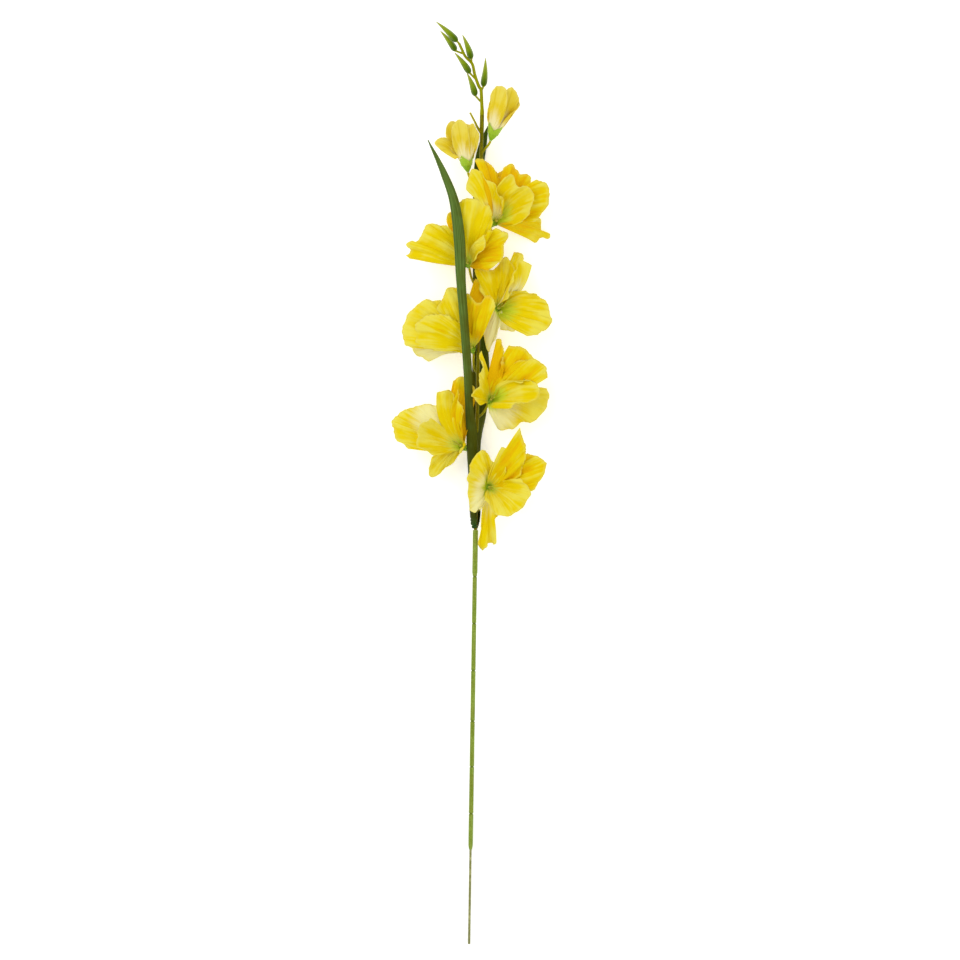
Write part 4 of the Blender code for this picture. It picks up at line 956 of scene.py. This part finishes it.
flowerStemForm = {
    "radius": 2.05, "topY": 399.4, "sides": 24, "rings": 225, "gap": 0.3, "shrink": 0.05,
    "knot": 0.10, "knotHalfLength": 3.0,  # the share it swells where a peg leaves it
    "crown": 0.16, "crownLength": 22.0, "crownIn": 8.0,  # the share it swells towards the sprig
    "pegRadius": 1.3, "pegParts": 14, "pegSides": 14, "pegPulls": (0.45, 0.35),
    "pegFoot": 0.25, "footParts": 4.0,  # the share it is thicker at the stem, and over how many parts
    "pegYoung": (0.0, 1.0), "sidePegYoung": (0.25, 0.85),  # how yellow, from the stem to its end
    "sidePeg": ((6.0, 386.5, 30.5), (3.5, 391.8, 31.0), (-1.9, 402.2, 31.5)),
    "sidePegY": 379.0, "sidePegRadii": (1.5, 1.0), "sidePegParts": 5, "sidePegSides": 12,
}


def wireSteel():
    # drawn steel wire with a thin olive lacquer, scuffed where it slid into its holder
    material, tree, shader = newMaterial("lacqueredSteelWire", Metallic=0.55)
    place = addNode(tree, "ShaderNodeTexCoord")["Object"]
    scuff = addNode(tree, "ShaderNodeTexNoise", {"Vector": place, "Scale": 220.0, "Detail": 4.0})[0]
    worn = addNode(tree, "ShaderNodeMapRange", {0: scuff, 1: 0.45, 2: 0.7})[0]
    colour = addNode(tree, "ShaderNodeMix", {
        0: worn, 6: hexColour("#828448"), 7: hexColour("#B2B278"),
    }, data_type="RGBA")[2]
    tree.links.new(colour, shader.inputs["Base Color"])
    polish = addNode(tree, "ShaderNodeMapRange", {0: scuff, 1: 0.3, 2: 0.7, 3: 0.5, 4: 0.34})[0]
    tree.links.new(polish, shader.inputs["Roughness"])
    bump = addNode(tree, "ShaderNodeBump", {"Height": scuff, "Strength": 0.4, "Distance": 0.0001})[0]
    tree.links.new(bump, shader.inputs["Normal"])
    return material


def stemPlastic(name, dark, light, brown, browning):
    # polyethylene extruded over the wire: dull gloss, faint lines along the stem, dusty or browned patches
    material, tree, shader = newMaterial(
        name, Roughness=0.42, IOR=1.51, Specular_IOR_Level=0.25, Specular_Tint=hexColour("#D8D464"))
    place = addNode(tree, "ShaderNodeTexCoord")["Object"]
    drawn = addNode(tree, "ShaderNodeMapping", {"Vector": place, "Scale": (1.0, 0.05, 1.0)})[0]
    lines = addNode(tree, "ShaderNodeTexNoise", {"Vector": drawn, "Scale": 700.0, "Detail": 3.0})[0]
    patch = addNode(tree, "ShaderNodeTexNoise", {"Vector": place, "Scale": 60.0, "Detail": 2.0})[0]
    speck = addNode(tree, "ShaderNodeTexNoise", {"Vector": place, "Scale": 620.0, "Detail": 1.0})[0]
    grain = addNode(tree, "ShaderNodeMath", {0: speck, 1: 0.9, 2: lines}, operation="MULTIPLY_ADD")[0]
    share = addNode(tree, "ShaderNodeMapRange", {0: grain, 1: 0.72, 2: 1.18})[0]
    colour = addNode(tree, "ShaderNodeMix", {
        0: share, 6: hexColour(dark), 7: hexColour(light),
    }, data_type="RGBA")[2]
    stain = addNode(tree, "ShaderNodeMapRange", {0: patch, 1: 0.5, 2: 0.75, 3: 0.0, 4: browning})[0]
    young = addNode(tree, "ShaderNodeAttribute", attribute_name="young")["Fac"]
    grooveDarkening = addNode(tree, "ShaderNodeAttribute", attribute_name="grooveDarkening")["Fac"]
    grooveDarkening = addNode(tree, "ShaderNodeMath", {0: grooveDarkening, 1: 0.55}, operation="MULTIPLY")[0]
    # a darker green down in the sleeve's ring grooves
    for share, tone in ((stain, brown), (young, "#B4AC14"), (grooveDarkening, "#4E6010")):
        colour = addNode(tree, "ShaderNodeMix", {
            0: share, 6: colour, 7: hexColour(tone),
        }, data_type="RGBA")[2]
    tree.links.new(colour, shader.inputs["Base Color"])
    bump = addNode(tree, "ShaderNodeBump", {"Height": lines, "Strength": 0.5, "Distance": 0.00015})[0]
    tree.links.new(bump, shader.inputs["Normal"])
    return material


wireFinish = wireSteel()
sleeveGreen = stemPlastic("sleevePolyethylene", "#70882A", "#94A84A", "#7E7E28", 0.5)
stemOlive = stemPlastic("olivePolyethylene", "#625E02", "#848004", "#624A06", 0.6)


def makeWire():
    form = wireForm
    radius = form["radius"]
    clear = Vector((0.0, 0.0, radius - stemLine["wireRadius"]))  # keeps its butt on the surface
    butt, top = stemPoint(stemLine["buttY"]) + clear, stemPoint(form["topY"]) + clear
    length = (top - butt).length
    steps = [form["step"] * count for count in range(1, int(length / form["step"]))]
    points = [butt + stemDirection * stop for stop in [0.0, form["endLength"]] + steps + [length]]
    radii = [radius * form["endRadius"]] + [radius] * (len(points) - 1)
    bm = bmesh.new()
    addRod(bm, points, radii, form["sides"])
    finishPiece("wireRod", bm, wireFinish, "steel_wire", "wire_core")


def makeSleeve():
    form = sleeveForm
    bottom = stemPoint(form["bottomY"])

    def alongStem(y):
        return (stemPoint(y) - bottom).length

    radius, bore, half = form["radius"], form["bore"], form["ringHalfLength"]
    lip, groove, shoulder = form["ringLip"], form["ringDepth"], form["ringShoulder"]
    wallStop, wallReach = form["ringWall"][0] * half, -form["ringWall"][1] * groove
    ring = (  # along the sleeve from the ring's middle, and out from the sleeve's radius
        (-half - shoulder, 0.0), (-half, lip), (-wallStop, wallReach), (0.0, -groove),
        (wallStop, wallReach), (half, lip), (half + shoulder, 0.0),
    )
    profile = [(stop, bore + reach) for stop, reach in form["foot"]] + [(form["taper"], radius)]
    middles = [alongStem(y) for y in form["rings"]]
    for middle in middles:
        profile += [(middle + stop, radius + reach) for stop, reach in ring]
    swollen, start = form["swollenRadius"], alongStem(form["swollenFromY"])
    profile = [item for item in profile if item[0] < start - 1.0]
    profile += [(start, radius), (start + form["swollenIn"], swollen)]
    end, (rimLength, rimDepth) = alongStem(form["topY"]), form["swollenRim"]
    profile += [(end - rimLength, swollen), (end, swollen - rimDepth), (end, bore), (0.0, bore)]
    bm = bmesh.new()
    grooveDarkening = bm.verts.layers.float.new("grooveDarkening")
    side = stemDirection.to_track_quat("Z", "Y").to_matrix() @ Vector((1.0, 0.0, 0.0))
    verts = [bm.verts.new(bottom + stemDirection * stop + side * reach) for stop, reach in profile]
    for vert, (stop, reach) in zip(verts, profile):
        near = min(abs(stop - middle) for middle in middles)
        # the vertices down in a ring groove take the darker green
        vert[grooveDarkening] = 1.0 if reach < radius - form["grooveDarkDepth"] and near < half else 0.0
    edges = [bm.edges.new(pair) for pair in zip(verts, verts[1:] + verts[:1])]
    bmesh.ops.spin(bm, geom=verts + edges, cent=bottom, axis=stemDirection, angle=2.0 * math.pi,
                   steps=form["sides"], use_merge=True)
    bmesh.ops.recalc_face_normals(bm, faces=bm.faces)
    finishPiece("sleeveTube", bm, sleeveGreen, "sleeve_plastic", "stem_sleeve",
                sharpAngle=form["sharpAngle"])


def pegPoints(flower, shape):
    # the curve from the stem to the calyx, leaving the stem the flower's own way
    parts, pulls = flowerStemForm["pegParts"], flowerStemForm["pegPulls"]
    axis = Vector(flower["axis"]).normalized()
    start = stemPoint(flower["pegY"])
    end = Vector(flower["seat"]) - axis * (shape["calyxLength"] + flowerStemForm["gap"])
    reach = (end - start).length
    pullStart = start + Vector(flower["pegWay"]).normalized() * (pulls[0] * reach)
    pullEnd = end - axis * (pulls[1] * reach)
    return [bezier(start, pullStart, pullEnd, end, step / parts) for step in range(parts + 1)]


def makeFlowerStem():
    form = flowerStemForm
    bm = bmesh.new()
    young = bm.verts.layers.float.new("young")

    def addPeg(path, radii, sides, first, last):
        for vert in addRod(bm, path, radii, sides):
            vert[young] = mix(first, last, smooth((vert.co - path[0]).length / (path[-1] - path[0]).length))

    bottom = stemPoint(sleeveForm["topY"]) + stemDirection * form["gap"]
    length = (stemPoint(form["topY"]) - bottom).length
    knots = [(stemPoint(flower["pegY"]) - bottom).length for flower in flowers + halfOpenFlowers]
    points, radii = [], []
    for step in range(form["rings"] + 1):
        stop = length * step / form["rings"]
        near = min(abs(stop - knot) for knot in knots)
        swell = form["knot"] * math.exp(-((near / form["knotHalfLength"]) ** 2))
        swell += form["crown"] * smooth((stop - length + form["crownLength"]) / form["crownIn"])
        points.append(bottom + stemDirection * stop)
        radii.append(form["radius"] * (1.0 + swell) - form["shrink"])
    addRod(bm, points, radii, form["sides"])
    for group, shape in ((flowers, openShape), (halfOpenFlowers, halfOpenShape)):
        for flower in group:
            path = pegPoints(flower, shape)
            steps = range(len(path))
            swells = [form["pegFoot"] * (1.0 - smooth(step / form["footParts"])) for step in steps]
            radii = [form["pegRadius"] * (1.0 + swell) for swell in swells]
            addPeg(path, radii, form["pegSides"], *form["pegYoung"])
    route = [stemPoint(form["sidePegY"])] + [Vector(point) for point in form["sidePeg"]]
    path = curveThrough(route, form["sidePegParts"])
    addPeg(path, taper(*form["sidePegRadii"], len(path)), form["sidePegSides"], *form["sidePegYoung"])
    finishPiece("flowerStem", bm, stemOlive, "olive_stem_plastic", "flower_stem")


makeWire()
makeSleeve()
makeFlowerStem()
print("stem made")


# Sprig: a collar in the flower stem's top, the zigzag stalk and its six buds

sprigForm = {
    "collar": ((0.01, 2.1), (0.6, 2.35), (2.5, 2.4), (5.5, 2.2), (7.5, 1.8)),  # along the stem, radius
    "collarSides": 24, "stalkSides": 16, "stalkParts": 6, "budSides": 24,
    "stalkFrom": 6.0,
    "stalk": ((10.7, 413.4, 30.6), (10.0, 426.4, 31.2), (7.8, 430.2, 31.4), (5.1, 437.2, 31.8),
              (3.1, 443.7, 32.2), (1.3, 452.4, 32.8), (-0.9, 456.7, 33.2), (-7.0, 462.8, 33.8),
              (-10.4, 469.7, 34.2), (-13.9, 477.3, 34.8)),
    "stalkRadii": (1.9, 1.45),
    "neckRadius": 1.1, "neck": (0.0, 0.35, 0.7),
    "budRadius": 3.3, "budBow": 0.8,  # mm
    "budRidge": 0.13, "ridges": 3,  # how far the ridges stand out, as a share of the radius
    "ridgesFrom": 0.12,  # the share of the length where they have their full height
    "profile": ((0.0, 0.34), (0.03, 0.64), (0.08, 0.9), (0.14, 1.02), (0.22, 1.04), (0.34, 0.97),
                (0.48, 0.83), (0.64, 0.64), (0.8, 0.42), (0.92, 0.23), (1.0, 0.08)),
}
buds = (  # where the little stalk joins, the bud's base and its tip
    ((-13.0, 475.5, 34.6), (-15.5, 478.8, 35.0), (-38.7, 500.4, 36.0)),
    ((-8.6, 465.5, 34.0), (-17.1, 468.9, 31.0), (-34.1, 490.9, 28.0)),
    ((-0.2, 455.2, 33.0), (-0.4, 460.0, 36.5), (-10.1, 486.0, 41.0)),
    ((5.1, 437.2, 31.8), (-1.9, 444.5, 36.0), (-18.6, 466.5, 41.0)),
    ((10.3, 424.6, 31.1), (12.3, 430.2, 28.5), (14.8, 461.7, 25.0)),
    ((10.7, 412.9, 30.6), (4.1, 420.1, 32.0), (-5.2, 444.8, 36.5)),
)


def budPlastic():
    # moulded polyethylene, sprayed darker on the buds and left olive at their tips: waxy gloss
    material, tree, shader = newMaterial(
        "budPolyethylene", Roughness=0.22, IOR=1.51, Specular_IOR_Level=0.28,
        Specular_Tint=hexColour("#D8DC60"),
    )
    stage = addNode(tree, "ShaderNodeAttribute", attribute_name="ripeness")["Fac"]
    place = addNode(tree, "ShaderNodeTexCoord")["Object"]
    cloud = addNode(tree, "ShaderNodeTexNoise", {"Vector": place, "Scale": 240.0, "Detail": 3.0})[0]
    body = addNode(tree, "ShaderNodeMapRange", {0: stage, 1: 0.1, 2: 0.5},
                   interpolation_type="SMOOTHSTEP")[0]
    green = addNode(tree, "ShaderNodeMix", {
        0: body, 6: hexColour("#456402"), 7: hexColour("#7C9410"),
    }, data_type="RGBA")[2]
    sprayed = addNode(tree, "ShaderNodeMapRange", {0: stage, 1: 0.0, 2: 0.04},
                      interpolation_type="SMOOTHSTEP")[0]
    shade = addNode(tree, "ShaderNodeMapRange", {0: cloud, 1: 0.48, 2: 0.7, 3: 0.0, 4: 0.5})[0]
    shade = addNode(tree, "ShaderNodeMath", {0: shade, 1: sprayed}, operation="MULTIPLY")[0]
    tip = addNode(tree, "ShaderNodeMapRange", {0: stage, 1: 0.45, 2: 1.0})[0]
    colour = hexColour("#949604")
    for share, tone in ((sprayed, green), (shade, hexColour("#4A6404")), (tip, hexColour("#A6AA3C"))):
        colour = addNode(tree, "ShaderNodeMix", {0: share, 6: colour, 7: tone}, data_type="RGBA")[2]
    tree.links.new(colour, shader.inputs["Base Color"])
    bump = addNode(tree, "ShaderNodeBump", {"Height": cloud, "Strength": 0.5, "Distance": 0.0002})[0]
    tree.links.new(bump, shader.inputs["Normal"])
    return material


def makeSprig():
    form = sprigForm
    bm = bmesh.new()
    ripeness = bm.verts.layers.float.new("ripeness")
    top = stemPoint(flowerStemForm["topY"])
    stops, radii = zip(*form["collar"])
    addRod(bm, [top + stemDirection * stop for stop in stops], radii, form["collarSides"])
    route = [top + stemDirection * form["stalkFrom"]] + [Vector(point) for point in form["stalk"]]
    path = curveThrough(route, form["stalkParts"])
    addRod(bm, path, taper(*form["stalkRadii"], len(path)), form["stalkSides"])
    for joint, base, tip in buds:
        joint, base, tip = Vector(joint), Vector(base), Vector(tip)
        side = (tip - base).cross(Vector((0.0, 0.0, 1.0))).normalized()
        up = side.cross(tip - base).normalized()

        def core(share):
            # the bud's middle line, bowed to one side
            bow = form["budBow"] * math.sin(math.pi * min(max(share, 0.0), 1.0))
            return base + (tip - base) * share + side * bow

        path = [mix(joint, base, share) for share in form["neck"]]
        path += [core(share) for share, size in form["profile"]]
        radii = [form["neckRadius"]] * len(form["neck"])
        radii += [form["budRadius"] * size for share, size in form["profile"]]
        for vert in addRod(bm, path, radii, form["budSides"]):
            share = (vert.co - base).dot(tip - base) / (tip - base).length_squared
            vert[ripeness] = min(max(share, 0.0), 1.0)
            reach = vert.co - core(share)
            angle = math.atan2(reach.dot(side), reach.dot(up))
            ridge = form["budRidge"] * math.cos(form["ridges"] * angle)
            vert.co += reach * (ridge * smooth(share / form["ridgesFrom"]))
    finishPiece("budSprig", bm, budPlastic(), "bud_plastic", "bud_sprig")


makeSprig()
print("sprig made")


# Studio: a pale floor, even soft light from above and the camera straight over the stem

studio = {
    "floorSize": 6.0, "floorGlow": 0.4,
    "mmPerPixel": 1.0823, "pixels": 960,
    "centre": (0.00887, 0.00433), "plane": 0.035,  # what the picture's middle shows
    "distance": 8.0, "sensor": 36.0,
    "worldStrength": 0.72,
    "lights": (  # name, place, size and energy
        ("keyLight", (-1.1, 0.9, 1.8), 1.6, 15.0),
        ("fillLight", (1.4, -0.6, 1.6), 2.0, 8.0),
    ),
}


def makeStudio():
    scene = bpy.context.scene
    bm = bmesh.new()
    bmesh.ops.create_grid(bm, x_segments=1, y_segments=1, size=0.5 * studio["floorSize"])
    mesh = bpy.data.meshes.new("floor")
    bm.to_mesh(mesh)
    bm.free()
    floor = bpy.data.objects.new("floor", mesh)
    scene.collection.objects.link(floor)
    # matt white background paper, lit a little through from behind
    material, tree, shader = newMaterial(
        "paperBackdrop", Roughness=0.9, Emission_Color=(1.0, 1.0, 1.0, 1.0),
        Emission_Strength=studio["floorGlow"],
    )
    place = addNode(tree, "ShaderNodeTexCoord")["Object"]
    fibre = addNode(tree, "ShaderNodeTexNoise", {"Vector": place, "Scale": 900.0, "Detail": 2.0})[0]
    colour = addNode(tree, "ShaderNodeMix", {
        0: fibre, 6: hexColour("#F6F6F5"), 7: hexColour("#FBFBFA"),
    }, data_type="RGBA")[2]
    tree.links.new(colour, shader.inputs["Base Color"])
    mesh.materials.append(material)

    scene.world = bpy.data.worlds.new("softRoom")
    scene.world.use_nodes = True
    background = scene.world.node_tree.nodes["Background"]
    background.inputs["Color"].default_value = (1.0, 1.0, 1.0, 1.0)
    background.inputs["Strength"].default_value = studio["worldStrength"]

    for name, place, size, energy in studio["lights"]:
        light = bpy.data.lights.new(name, "AREA")
        light.shape = "SQUARE"
        light.size = size
        light.energy = energy
        lamp = bpy.data.objects.new(name, light)
        lamp.location = place
        lamp.rotation_euler = (-Vector(place)).to_track_quat("-Z", "Y").to_euler()
        scene.collection.objects.link(lamp)

    camera = bpy.data.objects.new("camera", bpy.data.cameras.new("camera"))
    span = studio["pixels"] * studio["mmPerPixel"] * mm
    camera.data.sensor_width = studio["sensor"]
    camera.data.lens = studio["sensor"] * studio["distance"] / span
    camera.data.clip_end = 50.0
    camera.location = (*studio["centre"], studio["plane"] + studio["distance"])
    scene.collection.objects.link(camera)
    scene.camera = camera
    scene.view_settings.view_transform = "Standard"


makeStudio()
print("studio made")
